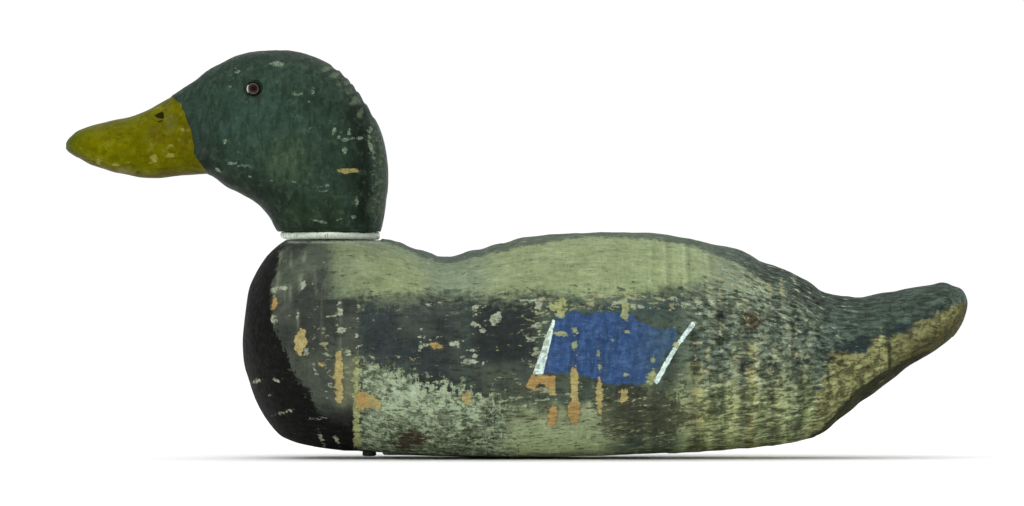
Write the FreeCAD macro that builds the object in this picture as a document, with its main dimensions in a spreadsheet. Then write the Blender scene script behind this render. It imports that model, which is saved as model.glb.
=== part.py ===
# Floating duck decoy (drake), carved and turned wood.
# Millimetres. Bill towards -X, tail towards +X, left side towards -Y, +Z up.
# The underside of the ballast plate is at Z = 0, and X = 0 is the middle of the length.
import FreeCAD, Part
import math
import os
import Sketcher

V = FreeCAD.Vector
Rotation = FreeCAD.Rotation
Placement = FreeCAD.Placement

doc = FreeCAD.newDocument("decoy")
sheet = doc.addObject("Spreadsheet::Sheet", "dims")
sheet.Label = "dims"
next_row = [1]


def cell(alias, value):
    """One plain number in the sheet, reached by its name."""
    row = next_row[0]
    next_row[0] = row + 1
    sheet.set("A%d" % row, alias)
    sheet.set("B%d" % row, "%g" % value)
    sheet.setAlias("B%d" % row, alias)
    return value


# ---------------------------------------------------------------- dimensions
# Hull: station X, lowest and highest point of the oval, half its breadth.
HULL = [
    (-130.7, 51.7, 58.4, 8.0), (-130.3, 47.8, 62.9, 15.0), (-129.5, 42.8, 69.4, 22.5),
    (-127.9, 37.1, 79.9, 31.0), (-124.5, 27.3, 87.8, 39.5), (-118.6, 17.0, 96.9, 48.0),
    (-110.7, 9.0, 104.5, 55.5), (-101.1, 5.8, 109.5, 61.0), (-89.1, 3.9, 111.4, 65.5),
    (-79.6, 2.8, 110.0, 68.5), (-71.0, 1.7, 107.5, 70.5), (-62.4, 0.3, 104.1, 72.0),
    (-54.7, -1.1, 102.4, 73.0), (-46.1, -2.3, 99.1, 74.0), (-39.0, -3.1, 96.7, 74.5),
    (-31.8, -3.5, 95.9, 75.0), (-24.1, -3.8, 97.4, 75.0), (-15.5, -4.0, 100.0, 75.0),
    (-0.2, -4.3, 104.4, 75.0), (20.8, -3.8, 106.8, 74.5), (42.8, -2.1, 107.6, 73.0),
    (63.8, 0.3, 107.1, 70.0), (82.9, 2.2, 104.4, 65.5), (104.4, 3.9, 99.8, 59.5),
    (118.8, 5.2, 93.1, 55.0), (130.7, 6.7, 88.6, 50.5), (141.2, 9.3, 83.1, 46.0),
    (146.0, 11.7, 79.8, 44.0), (151.8, 16.4, 77.8, 41.5), (159.4, 22.8, 76.7, 38.5),
    (169.0, 29.7, 77.2, 36.0), (178.5, 36.9, 79.0, 34.0), (188.1, 44.5, 80.9, 32.5),
    (197.7, 49.9, 82.4, 30.5), (205.3, 55.0, 83.0, 27.5), (210.6, 60.3, 81.3, 23.0),
    (213.9, 66.5, 78.4, 16.0), (215.3, 70.8, 75.6, 8.0),
]
# Neck and skull: ovals that fan round a point in front of the throat.
# Angle above level, nearest and farthest radius, half the breadth.
FAN_X, FAN_Z = -148.9, 107.8
FAN = [
    (0, 34.9, 84.1, 22.5), (10, 32.4, 88.1, 23.0), (20, 29.9, 93.3, 23.8),
    (30, 28.0, 96.8, 24.8), (40, 25.9, 98.2, 25.6), (50, 24.4, 99.9, 26.0),
    (60, 23.8, 97.9, 25.4), (70, 24.5, 92.0, 23.6), (80, 26.2, 85.3, 21.0),
    (90, 27.2, 75.9, 18.4),
]
# Face and bill: station X, lowest and highest point, half the breadth.
BILL = [
    (-152.7, 134.7, 180.8, 17.0), (-158.0, 134.4, 177.4, 16.0), (-163.7, 133.9, 173.6, 15.2),
    (-169.5, 133.0, 170.2, 14.8), (-175.2, 132.9, 166.9, 14.7), (-180.9, 133.4, 164.5, 14.8),
    (-186.7, 134.8, 162.6, 15.2), (-192.4, 135.8, 161.6, 15.5), (-198.1, 137.7, 160.2, 15.2),
    (-203.9, 139.6, 158.7, 14.2), (-209.6, 143.0, 156.4, 11.8), (-213.4, 144.6, 153.2, 8.5),
    (-215.3, 146.3, 150.1, 4.5),
]
for i, (x, low, top, half) in enumerate(HULL):
    cell("hull_x_%02d" % i, x)
    cell("hull_low_%02d" % i, low)
    cell("hull_top_%02d" % i, top)
    cell("hull_half_%02d" % i, half)
cell("fan_x", FAN_X)
cell("fan_z", FAN_Z)
for i, (ang, near, far, half) in enumerate(FAN):
    cell("fan_angle_%02d" % i, ang)
    cell("fan_near_%02d" % i, near)
    cell("fan_far_%02d" % i, far)
    cell("fan_half_%02d" % i, half)
for i, (x, low, top, half) in enumerate(BILL):
    cell("bill_x_%02d" % i, x)
    cell("bill_low_%02d" % i, low)
    cell("bill_top_%02d" % i, top)
    cell("bill_half_%02d" % i, half)

SHELF_Z = cell("shelf_z", 103.7)          # flat the neck turns on
SHELF_FRONT = cell("shelf_front", -121.6)
SHELF_REAR = cell("shelf_rear", -62.1)
TURN_X = cell("turn_x", -89.2)            # axis of the dowel and of the head's turn
COLLAR_GAP = cell("collar_gap", 0.3)
COLLAR_TOP = FAN_Z
cell("collar_long", 23.7)
cell("collar_half", 22.3)
DOWEL_R = cell("dowel_radius", 9.5)
cell("dowel_clear", 0.05)
cell("dowel_glue", 0.02)
DOWEL_LOW = cell("dowel_low", 54.0)
DOWEL_TOP = cell("dowel_top", 148.0)
cell("screw_shank", 2.5)
cell("screw_way", 3.0)
cell("screw_pilot", 2.55)
cell("screw_head", 5.2)
cell("screw_head_high", 3.6)
WASHER_TOP = cell("washer_top", 29.7)
cell("washer_thick", 1.5)
cell("washer_radius", 7.0)
SCREW_TIP = cell("screw_tip", 106.0)
cell("bore_top_gap", 0.3)
CBORE_R = cell("cbore_radius", 8.0)
CBORE_Z = cell("cbore_ceiling", 30.0)
cell("plug_clear", 0.05)
cell("plug_top", 16.0)
PLATE_X = cell("plate_x", -33.35)
PLATE_L = cell("plate_long", 60.9)
PLATE_W = cell("plate_wide", 38.0)
PLATE_H = cell("plate_high", 6.0)
cell("plate_fit", 0.1)
NAIL_X = cell("nail_dx", 22.0)
NAIL_Y = cell("nail_dy", 12.0)
cell("nail_radius", 1.1)
cell("nail_fit", 0.04)
cell("nail_head", 3.0)
cell("nail_head_low", 0.15)
cell("nail_head_high", 1.0)
cell("nail_end", 23.0)
LOOP_X = cell("loop_x", -70.3)
cell("loop_wide", 6.2)
LOOP_HALF = cell("loop_half", 16.0)
LOOP_LOW = cell("loop_low", 0.8)
cell("loop_bend", 91.8)
SLOT_FRONT = cell("slot_front", -82.0)
SLOT_REAR = cell("slot_rear", -65.0)
SLOT_HALF = cell("slot_half", 5.0)
SLOT_Z = cell("slot_ceiling", 8.0)
TACK_Y = cell("tack_dy", 12.5)
cell("tack_head", 2.4)
cell("tack_head_high", 0.9)
cell("tack_low", 0.75)
cell("tack_radius", 0.75)
cell("tack_end", 11.5)
# Ridge and the two slight slopes of the planed sole.
SOLE_X, SOLE_Z = cell("sole_x", -0.24), cell("sole_z", 0.43)
SOLE_FX, SOLE_FZ = cell("sole_front_x", -150.0), cell("sole_front_z", 4.4)
SOLE_AX, SOLE_AZ = cell("sole_aft_x", 150.0), cell("sole_aft_z", 3.9)
SOLE_DEEP = cell("sole_deep", -20.0)
EYE_X, EYE_Y, EYE_Z = cell("eye_x", -125.4), cell("eye_y", 20.9), cell("eye_z", 175.6)
EYE_R = cell("eye_radius", 3.6)
cell("eye_dome", 4.4)
cell("eye_thick", 2.2)
cell("socket_radius", 4.52)
cell("putty_radius", 4.5)
cell("socket_deep", 4.2)
cell("eye_fit", 0.02)
cell("shank_radius", 0.5)
cell("shank_way", 0.54)
cell("shank_deep", 14.0)

doc.recompute()


# ---------------------------------------------------------------- helpers
def bind(obj, **props):
    for name, text in props.items():
        obj.setExpression(name.replace("__", "."), text)


def move(obj, x=None, y=None, z=None):
    for axis, text in (("x", x), ("y", y), ("z", z)):
        if text is not None:
            obj.setExpression("Placement.Base.%s" % axis, text)


def cylinder(name, radius, height, x=None, y=None, z=None):
    obj = doc.addObject("Part::Cylinder", name)
    bind(obj, Radius=radius, Height=height)
    move(obj, x, y, z)
    return obj


def box(name, length, width, height, x, y, z):
    obj = doc.addObject("Part::Box", name)
    bind(obj, Length=length, Width=width, Height=height)
    move(obj, x, y, z)
    return obj


def fuse(name, shapes):
    obj = doc.addObject("Part::MultiFuse", name)
    obj.Shapes = shapes
    return obj


def cut(name, base, tool):
    obj = doc.addObject("Part::Cut", name)
    obj.Base = base
    obj.Tool = tool
    return obj


def oval_across(name, x, z, up, half, wider):
    """An oval that stands across X; its seam is on top."""
    obj = doc.addObject("Part::Ellipse", name)
    if wider:
        obj.MajorRadius, obj.MinorRadius = 200, 100
        bind(obj, MajorRadius=half, MinorRadius=up)
        obj.Angle1, obj.Angle2 = 270, 270
        turn = Rotation(V(0, 1, 0), V(0, 0, -1), V(-1, 0, 0), "ZXY")
    else:
        obj.MajorRadius, obj.MinorRadius = 200, 100
        bind(obj, MajorRadius=up, MinorRadius=half)
        obj.Angle1, obj.Angle2 = 0, 360
        turn = Rotation(V(0, 0, 1), V(0, 1, 0), V(-1, 0, 0), "ZXY")
    obj.Placement = Placement(V(0, 0, 0), turn)
    move(obj, x=x, z=z)
    return obj


def loft(name, sections):
    obj = doc.addObject("Part::Loft", name)
    obj.Sections = sections
    obj.Solid = True
    obj.Ruled = False
    return obj


def plane_of(body, role):
    for item in body.Origin.OriginFeatures:
        if item.Role == role:
            return item
    raise RuntimeError("no plane " + role)


def sketch_on(body, name, role):
    sk = body.newObject("Sketcher::SketchObject", name)
    sk.AttachmentSupport = [(plane_of(body, role), "")]
    sk.MapMode = "FlatFace"
    return sk


def polygon(sk, points):
    """Closed outline; every corner is held by two named cells."""
    n = len(points)
    for k in range(n):
        a, b = points[k], points[(k + 1) % n]
        sk.addGeometry(Part.LineSegment(V(a[0][1], a[1][1], 0), V(b[0][1], b[1][1], 0)), False)
    for k in range(n):
        sk.addConstraint(Sketcher.Constraint("Coincident", k, 2, (k + 1) % n, 1))
    for k, (px, py) in enumerate(points):
        i = sk.addConstraint(Sketcher.Constraint("DistanceX", -1, 1, k, 1, px[1]))
        sk.setExpression("Constraints[%d]" % i, px[0])
        i = sk.addConstraint(Sketcher.Constraint("DistanceY", -1, 1, k, 1, py[1]))
        sk.setExpression("Constraints[%d]" % i, py[0])


def circle(sk, radius, value, x=None, y=None):
    """A round, on the sketch origin or held off it by two cells."""
    cx = x[1] if x else 0
    cy = y[1] if y else 0
    g = sk.addGeometry(Part.Circle(V(cx, cy, 0), V(0, 0, 1), value), False)
    i = sk.addConstraint(Sketcher.Constraint("Radius", g, value))
    sk.setExpression("Constraints[%d]" % i, radius)
    if not x and not y:
        sk.addConstraint(Sketcher.Constraint("Coincident", g, 3, -1, 1))
        return g
    i = sk.addConstraint(Sketcher.Constraint("DistanceX", -1, 1, g, 3, cx))
    sk.setExpression("Constraints[%d]" % i, x[0])
    i = sk.addConstraint(Sketcher.Constraint("DistanceY", -1, 1, g, 3, cy))
    sk.setExpression("Constraints[%d]" % i, y[0])
    return g


def pad(body, sk, name, length, both=False):
    obj = body.newObject("PartDesign::Pad", name)
    obj.Profile = sk
    obj.setExpression("Length", length)
    if both:
        if hasattr(obj, "SideType"):
            obj.SideType = "Symmetric"
        else:
            obj.Midplane = True
    sk.Visibility = False
    return obj


# ---------------------------------------------------------------- hull
hull_ovals = []
for i in range(len(HULL)):
    hull_ovals.append(oval_across(
        "hull_oval_%02d" % i, "dims.hull_x_%02d" % i,
        "(dims.hull_low_%02d + dims.hull_top_%02d) / 2" % (i, i),
        "(dims.hull_top_%02d - dims.hull_low_%02d) / 2" % (i, i),
        "dims.hull_half_%02d" % i, True))
turned = loft("hull_turned", hull_ovals)

shelf = box("shelf_cutter", "dims.shelf_rear - dims.shelf_front", "100", "30",
            "dims.shelf_front", "-50", "dims.shelf_z")

sole_body = doc.addObject("PartDesign::Body", "sole_cutter")
sk = sketch_on(sole_body, "sole_outline", "XZ_Plane")
polygon(sk, [
    (("dims.sole_front_x", SOLE_FX), ("dims.sole_deep", SOLE_DEEP)),
    (("dims.sole_aft_x", SOLE_AX), ("dims.sole_deep", SOLE_DEEP)),
    (("dims.sole_aft_x", SOLE_AX), ("dims.sole_aft_z", SOLE_AZ)),
    (("dims.sole_x", SOLE_X), ("dims.sole_z", SOLE_Z)),
    (("dims.sole_front_x", SOLE_FX), ("dims.sole_front_z", SOLE_FZ)),
])
pad(sole_body, sk, "sole_block", "200", both=True)

envelope = cut("hull_envelope", turned, fuse("hull_planes", [shelf, sole_body]))

tools = [
    cylinder("dowel_bore", "dims.dowel_radius + dims.dowel_clear",
             "dims.shelf_z - dims.dowel_low + dims.bore_top_gap + 8",
             "dims.turn_x", None, "dims.dowel_low - dims.bore_top_gap"),
    cylinder("screw_way", "dims.screw_way", "dims.dowel_low - dims.cbore_ceiling + 2",
             "dims.turn_x", None, "dims.cbore_ceiling - 1"),
    cylinder("counterbore", "dims.cbore_radius", "dims.cbore_ceiling + 10",
             "dims.turn_x", None, "-10"),
    box("plate_pocket", "dims.plate_long + 2 * dims.plate_fit", "dims.plate_wide + 2 * dims.plate_fit",
        "dims.plate_high + 10", "dims.plate_x - dims.plate_long / 2 - dims.plate_fit",
        "-dims.plate_wide / 2 - dims.plate_fit", "-10"),
    box("line_slot", "dims.slot_rear - dims.slot_front", "2 * dims.slot_half",
        "dims.slot_ceiling + 10", "dims.slot_front", "-dims.slot_half", "-10"),
]
for k, (sx, sy) in enumerate(((-1, -1), (-1, 1), (1, -1), (1, 1))):
    tools.append(cylinder("nail_way_%d" % (k + 1), "dims.nail_radius + dims.nail_fit",
                          "dims.nail_end + 2.5", "dims.plate_x + %d * dims.nail_dx" % sx,
                          "%d * dims.nail_dy" % sy, "-2"))
for k, sy in enumerate((-1, 1)):
    tools.append(cylinder("tack_way_%d" % (k + 1), "dims.tack_radius + dims.nail_fit",
                          "dims.tack_end + 2.5", "dims.loop_x", "%d * dims.tack_dy" % sy, "-2"))
hull_tools = fuse("hull_cuts", tools)
body = cut("body", envelope, hull_tools)

# ---------------------------------------------------------------- head
head_ovals = []
for i, (ang, near, far, half) in enumerate(FAN):
    obj = doc.addObject("Part::Ellipse", "neck_oval_%02d" % i)
    obj.MajorRadius, obj.MinorRadius = 200, 100
    bind(obj, MajorRadius="(dims.fan_far_%02d - dims.fan_near_%02d) / 2" % (i, i),
         MinorRadius="dims.fan_half_%02d" % i)
    obj.Placement = Placement(V(0, 0, 0), Rotation(V(0, 1, 0), -ang))
    mid = "(dims.fan_far_%02d + dims.fan_near_%02d) / 2" % (i, i)
    move(obj, x="dims.fan_x + %s * cos(dims.fan_angle_%02d * 1 deg)" % (mid, i),
         z="dims.fan_z + %s * sin(dims.fan_angle_%02d * 1 deg)" % (mid, i))
    head_ovals.append(obj)
for i, (x, low, top, half) in enumerate(BILL):
    head_ovals.append(oval_across(
        "bill_oval_%02d" % i, "dims.bill_x_%02d" % i,
        "(dims.bill_low_%02d + dims.bill_top_%02d) / 2" % (i, i),
        "(dims.bill_top_%02d - dims.bill_low_%02d) / 2" % (i, i),
        "dims.bill_half_%02d" % i, half > (top - low) / 2))
carved = loft("head_carved", head_ovals)

# Outward direction of each eye, square to the cheek.
EYES = {"left": V(0.097, -0.955, 0.279), "right": V(0.097, 0.955, 0.279)}
EYE_AT = {"left": ("dims.eye_x", "-dims.eye_y", "dims.eye_z"),
          "right": ("dims.eye_x", "dims.eye_y", "dims.eye_z")}


def along_eye(name, side, radius, start, end):
    """A round along the eye's own axis, from start to end measured outward."""
    d = EYES[side].normalize()
    obj = doc.addObject("Part::Cylinder", name)
    bind(obj, Radius=radius, Height="(%s) - (%s)" % (end, start))
    obj.Placement = Placement(V(0, 0, 0), Rotation(V(0, 0, 1), d))
    px, py, pz = EYE_AT[side]
    move(obj, "%s + %.6f * (%s)" % (px, d.x, start), "%s + %.6f * (%s)" % (py, d.y, start),
         "%s + %.6f * (%s)" % (pz, d.z, start))
    return obj


head_tools = [cylinder("neck_mortise", "dims.dowel_radius + dims.dowel_glue",
                       "dims.dowel_top - dims.fan_z + 5.2", "dims.turn_x", None, "dims.fan_z - 5")]
for side in ("left", "right"):
    head_tools.append(along_eye("eye_socket_" + side, side, "dims.socket_radius",
                                "-dims.socket_deep", "8"))
    head_tools.append(along_eye("shank_way_" + side, side, "dims.shank_way",
                                "-dims.shank_deep - 0.2", "-dims.socket_deep + 1"))
head = cut("head", carved, fuse("head_cuts", head_tools))

# ---------------------------------------------------------------- neck collar
collar_ovals = []
for k, (part, grow) in enumerate(((0.0, -0.7), (0.3, 0.0), (0.7, 0.1), (1.0, -0.4))):
    obj = doc.addObject("Part::Ellipse", "collar_oval_%d" % k)
    obj.MajorRadius, obj.MinorRadius = 200, 100
    bind(obj, MajorRadius="dims.collar_long + %g" % grow, MinorRadius="dims.collar_half + %g" % grow)
    low = "(dims.shelf_z + dims.collar_gap)"
    move(obj, x="dims.turn_x", z="%s + %g * (dims.fan_z - %s)" % (low, part, low))
    collar_ovals.append(obj)
collar = cut("neck_collar", loft("collar_turned", collar_ovals),
             cylinder("collar_hole", "dims.dowel_radius + dims.dowel_glue", "20",
                      "dims.turn_x", None, "dims.fan_z - 10"))

# ---------------------------------------------------------------- dowel
dowel = doc.addObject("PartDesign::Body", "neck_dowel")
sk = sketch_on(dowel, "dowel_round", "XY_Plane")
circle(sk, "dims.dowel_radius", DOWEL_R)
p = pad(dowel, sk, "dowel_length", "dims.dowel_top - dims.dowel_low")
doc.recompute()
names = ["Edge%d" % (k + 1) for k, e in enumerate(p.Shape.Edges)
         if hasattr(e.Curve, "Radius")]
c = dowel.newObject("PartDesign::Chamfer", "dowel_ends")
c.Base = (p, names)
c.Size = 1.0
sk2 = sketch_on(dowel, "dowel_pilot", "XY_Plane")
circle(sk2, "dims.screw_pilot", 2.55)
q = dowel.newObject("PartDesign::Pocket", "dowel_hole")
q.Profile = sk2
q.setExpression("Length", "dims.screw_tip - dims.dowel_low + 0.3")
q.Reversed = True
dowel.Tip = q
doc.recompute()
solid = math.pi * 9.5 ** 2 * 94
if q.Shape.Volume > solid - 800:
    q.Reversed = False
    doc.recompute()
move(dowel, "dims.turn_x", None, "dims.dowel_low")

# ---------------------------------------------------------------- screw and washer
washer = doc.addObject("PartDesign::Body", "head_washer")
sk = sketch_on(washer, "washer_round", "XY_Plane")
circle(sk, "dims.washer_radius", 7.0)
circle(sk, "dims.screw_pilot", 2.55)
pad(washer, sk, "washer_sheet", "dims.washer_thick")
move(washer, "dims.turn_x", None, "dims.washer_top - dims.washer_thick")

screw_low = "dims.washer_top - dims.washer_thick - dims.screw_head_high"
shank = cylinder("screw_shank_part", "dims.screw_shank",
                 "dims.screw_tip - 6 - (%s)" % screw_low, "dims.turn_x", None, screw_low)
tip = doc.addObject("Part::Cone", "screw_tip_part")
bind(tip, Radius1="dims.screw_shank", Radius2="0.3", Height="6")
move(tip, "dims.turn_x", None, "dims.screw_tip - 6")
screw_head = cylinder("screw_head_part", "dims.screw_head", "dims.screw_head_high",
                      "dims.turn_x", None, screw_low)
slot = box("screw_slot", "14", "1.2", "1.6", "dims.turn_x - 7", "-0.6", "%s - 0.2" % screw_low)
screw = cut("head_screw", fuse("screw_whole", [shank, tip, screw_head]), slot)

plug_round = cylinder("plug_round", "dims.cbore_radius - dims.plug_clear", "dims.plug_top + 10",
                      "dims.turn_x", None, "-10")
plug = doc.addObject("Part::MultiCommon", "screw_plug")
plug.Shapes = [envelope, plug_round]

# ---------------------------------------------------------------- eyes
for side in ("left", "right"):
    d = EYES[side].normalize()
    px, py, pz = EYE_AT[side]
    ball = doc.addObject("Part::Sphere", "eye_ball_" + side)
    bind(ball, Radius="dims.eye_dome")
    move(ball, z="-sqrt(dims.eye_dome ^ 2 - dims.eye_radius ^ 2)")
    disc = cylinder("eye_disc_" + side, "dims.eye_radius", "dims.eye_thick + 5", None, None,
                    "-dims.eye_thick")
    eye = doc.addObject("Part::MultiCommon", "eye_" + side)
    eye.Shapes = [ball, disc]
    eye.Placement = Placement(V(0, 0, 0), Rotation(V(0, 0, 1), d))
    move(eye, px, py, pz)

    bed = cylinder("putty_disc_" + side, "dims.putty_radius", "dims.socket_deep + 0.5", None, None,
                   "-dims.socket_deep")
    seat = cylinder("putty_seat_" + side, "dims.eye_radius + dims.eye_fit", "10", None, None,
                    "-dims.eye_thick")
    way = cylinder("putty_way_" + side, "dims.shank_way", "10", None, None, "-dims.socket_deep - 1")
    putty = cut("eye_putty_" + side, bed, fuse("putty_cuts_" + side, [seat, way]))
    putty.Placement = Placement(V(0, 0, 0), Rotation(V(0, 0, 1), d))
    move(putty, px, py, pz)

    along_eye("eye_pin_" + side, side, "dims.shank_radius", "-dims.shank_deep", "-dims.eye_thick")

# ---------------------------------------------------------------- ballast plate
plate = doc.addObject("PartDesign::Body", "ballast_plate")
sk = sketch_on(plate, "plate_outline", "XY_Plane")
half_l, half_w = PLATE_L / 2, PLATE_W / 2
polygon(sk, [
    (("-dims.plate_long / 2", -half_l), ("-dims.plate_wide / 2", -half_w)),
    (("dims.plate_long / 2", half_l), ("-dims.plate_wide / 2", -half_w)),
    (("dims.plate_long / 2", half_l), ("dims.plate_wide / 2", half_w)),
    (("-dims.plate_long / 2", -half_l), ("dims.plate_wide / 2", half_w)),
])
p = pad(plate, sk, "plate_slab", "dims.plate_high")
doc.recompute()
upright = ["Edge%d" % (k + 1) for k, e in enumerate(p.Shape.Edges)
           if abs(e.BoundBox.ZLength - PLATE_H) < 0.01]
f = plate.newObject("PartDesign::Fillet", "plate_corners")
f.Base = (p, upright)
f.Radius = 2.0
doc.recompute()
sk = sketch_on(plate, "nail_round", "XY_Plane")
circle(sk, "dims.nail_radius + dims.nail_fit", 1.14, ("dims.nail_dx", NAIL_X), ("dims.nail_dy", NAIL_Y))
q = plate.newObject("PartDesign::Pocket", "nail_way")
q.Profile = sk
q.Type = "ThroughAll"
q.Reversed = True
sk = sketch_on(plate, "nail_sink_round", "XY_Plane")
circle(sk, "dims.nail_head + 0.1", 3.1, ("dims.nail_dx", NAIL_X), ("dims.nail_dy", NAIL_Y))
q2 = plate.newObject("PartDesign::Pocket", "nail_sink")
q2.Profile = sk
q2.setExpression("Length", "dims.nail_head_low + dims.nail_head_high")
q2.Reversed = True
plate.Tip = q2
doc.recompute()
one = f.Shape.Volume - q2.Shape.Volume
if one < 30:
    q.Reversed = False
    q2.Reversed = False
    doc.recompute()
mt = plate.newObject("PartDesign::MultiTransform", "nails_all")
mt.Originals = [q, q2]
t1 = plate.newObject("PartDesign::Mirrored", "over_length")
t1.MirrorPlane = (plane_of(plate, "YZ_Plane"), [""])
t2 = plate.newObject("PartDesign::Mirrored", "over_width")
t2.MirrorPlane = (plane_of(plate, "XZ_Plane"), [""])
mt.Transformations = [t1, t2]
plate.Tip = mt
doc.recompute()
move(plate, "dims.plate_x")

nails = []
for k, (sx, sy) in enumerate(((-1, -1), (-1, 1), (1, -1), (1, 1))):
    x = "dims.plate_x + %d * dims.nail_dx" % sx
    y = "%d * dims.nail_dy" % sy
    a = cylinder("nail_shank_%d" % (k + 1), "dims.nail_radius",
                 "dims.nail_end - 3 - dims.nail_head_low", x, y, "dims.nail_head_low")
    b = doc.addObject("Part::Cone", "nail_point_%d" % (k + 1))
    bind(b, Radius1="dims.nail_radius", Radius2="0.2", Height="3")
    move(b, x, y, "dims.nail_end - 3")
    c = cylinder("nail_cap_%d" % (k + 1), "dims.nail_head", "dims.nail_head_high", x, y,
                 "dims.nail_head_low")
    nails += [a, b, c]
ballast_nails = fuse("ballast_nails", nails)

# ---------------------------------------------------------------- line loop
roll = doc.addObject("Part::Cylinder", "loop_roll")
bind(roll, Radius="dims.loop_bend", Height="dims.loop_wide")
roll.Placement = Placement(V(0, 0, 0), Rotation(V(0, 1, 0), 90))
move(roll, "dims.loop_x - dims.loop_wide / 2", None, "dims.loop_low + dims.loop_bend")
ends = box("loop_ends", "dims.loop_wide + 2", "2 * dims.loop_half", "30",
           "dims.loop_x - dims.loop_wide / 2 - 1", "-dims.loop_half", "-5")
strap = doc.addObject("Part::MultiCommon", "loop_strap")
strap.Shapes = [roll, ends]
strap_holes = [cylinder("loop_hole_%d" % (k + 1), "dims.tack_radius + dims.nail_fit", "20",
                        "dims.loop_x", "%d * dims.tack_dy" % sy, "-5")
               for k, sy in enumerate((-1, 1))]
strap_sinks = [cylinder("loop_sink_%d" % (k + 1), "dims.tack_head + 0.1",
                        "dims.tack_low + dims.tack_head_high + 5",
                        "dims.loop_x", "%d * dims.tack_dy" % sy, "-5")
               for k, sy in enumerate((-1, 1))]
line_loop = cut("line_loop", strap, fuse("loop_cuts", [envelope] + strap_holes + strap_sinks))

tacks = []
for k, sy in enumerate((-1, 1)):
    y = "%d * dims.tack_dy" % sy
    tacks.append(cylinder("tack_shank_%d" % (k + 1), "dims.tack_radius",
                          "dims.tack_end - dims.tack_low", "dims.loop_x", y, "dims.tack_low"))
    tacks.append(cylinder("tack_cap_%d" % (k + 1), "dims.tack_head", "dims.tack_head_high",
                          "dims.loop_x", y, "dims.tack_low"))
loop_tacks = fuse("line_loop_tacks", tacks)

doc.recompute()

# ---------------------------------------------------------------- export
NODES = [
    "body", "head", "neck_collar", "neck_dowel", "head_screw", "head_washer", "screw_plug",
    "eye_left", "eye_right", "eye_putty_left", "eye_putty_right", "eye_pin_left", "eye_pin_right",
    "ballast_plate", "ballast_nails", "line_loop", "line_loop_tacks",
]
for obj in doc.Objects:
    if "Invalid" in obj.State or "Error" in obj.State:
        raise RuntimeError("%s is not sound: %s" % (obj.Name, obj.State))
os.makedirs("parts", exist_ok=True)
for name in NODES:
    obj = doc.getObject(name)
    obj.Label = name
    shape = obj.Shape
    if shape.isNull() or not shape.isValid():
        raise RuntimeError(name + " has no valid shape")
    shape.exportStep("parts/%s.step" % name)
    bb = shape.optimalBoundingBox(True, False)
    print("%-16s solids %d  volume %10.1f  X %.1f..%.1f  Y %.1f..%.1f  Z %.2f..%.2f" % (
        name, len(shape.Solids), shape.Volume, bb.XMin, bb.XMax, bb.YMin, bb.YMax, bb.ZMin, bb.ZMax))
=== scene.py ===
import math

import bmesh
import bpy
import numpy as np
from mathutils import Matrix, Vector


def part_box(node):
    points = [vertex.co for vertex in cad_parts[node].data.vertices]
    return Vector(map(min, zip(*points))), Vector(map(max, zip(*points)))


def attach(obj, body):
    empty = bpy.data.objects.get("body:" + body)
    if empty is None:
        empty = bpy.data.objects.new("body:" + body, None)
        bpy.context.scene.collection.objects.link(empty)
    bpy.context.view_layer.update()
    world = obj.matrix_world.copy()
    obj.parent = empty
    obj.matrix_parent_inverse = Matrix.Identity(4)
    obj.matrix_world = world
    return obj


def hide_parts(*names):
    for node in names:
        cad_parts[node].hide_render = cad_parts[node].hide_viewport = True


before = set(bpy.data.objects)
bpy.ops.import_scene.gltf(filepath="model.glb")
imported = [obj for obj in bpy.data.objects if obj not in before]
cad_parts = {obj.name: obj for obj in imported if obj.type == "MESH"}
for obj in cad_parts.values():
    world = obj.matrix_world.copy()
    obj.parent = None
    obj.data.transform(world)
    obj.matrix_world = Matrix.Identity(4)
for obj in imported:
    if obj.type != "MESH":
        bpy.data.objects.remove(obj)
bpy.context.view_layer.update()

# ---------------------------------------------------------------------------
# Drawing units. The side view is drawn on a grid of 0.478 mm: across from the
# left, down from the top. Everything else is millimetres, scaled to metres
# when a mesh is made.
# ---------------------------------------------------------------------------
U = 0.478
U_X0 = 516.5
U_Z0 = 457.1
GAIN = 0.80      # the studio is a little brighter than full white, so paint is mixed this much darker


def across(x_mm):
    return x_mm / U + U_X0


def down(z_mm):
    return U_Z0 - z_mm / U


# ---------------------------------------------------------------------------
# Small numeric helpers
# ---------------------------------------------------------------------------
def hashed(ix, iy, iz, seed):
    h = (ix * 374761393 + iy * 668265263 + iz * 1442695041 + seed * 1013904223) & 0xFFFFFFFF
    h = ((h ^ (h >> 13)) * 1274126177) & 0xFFFFFFFF
    h = ((h ^ (h >> 15)) * 2246822519) & 0xFFFFFFFF
    h = h ^ (h >> 16)
    return (h & 0xFFFFFF) / float(0xFFFFFF)


def value_noise(p, seed=0):
    """Smooth noise from -1 to 1 at points p (N, 3)."""
    i = np.floor(p).astype(np.int64)
    f = p - i
    f = f * f * f * (f * (f * 6 - 15) + 10)
    out = np.zeros(len(p))
    for dx in (0, 1):
        wx = f[:, 0] if dx else 1 - f[:, 0]
        for dy in (0, 1):
            wy = f[:, 1] if dy else 1 - f[:, 1]
            for dz in (0, 1):
                wz = f[:, 2] if dz else 1 - f[:, 2]
                out += wx * wy * wz * hashed(i[:, 0] + dx, i[:, 1] + dy, i[:, 2] + dz, seed)
    return out * 2 - 1


def fbm(p, seed=0, octaves=3, gain=0.5):
    total = np.zeros(len(p))
    amp, norm = 1.0, 0.0
    q = p.copy()
    for k in range(octaves):
        total += amp * value_noise(q, seed + 17 * k)
        norm += amp
        amp *= gain
        q = q * 2.03 + 11.7
    return total / norm


def smooth(a, b, x):
    t = np.clip((x - a) / (b - a), 0, 1)
    return t * t * (3 - 2 * t)


def softmax(a, b, k):
    return 0.5 * (a + b + np.sqrt((a - b) ** 2 + k * k))


def softmin(a, b, k):
    return 0.5 * (a + b - np.sqrt((a - b) ** 2 + k * k))


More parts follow.
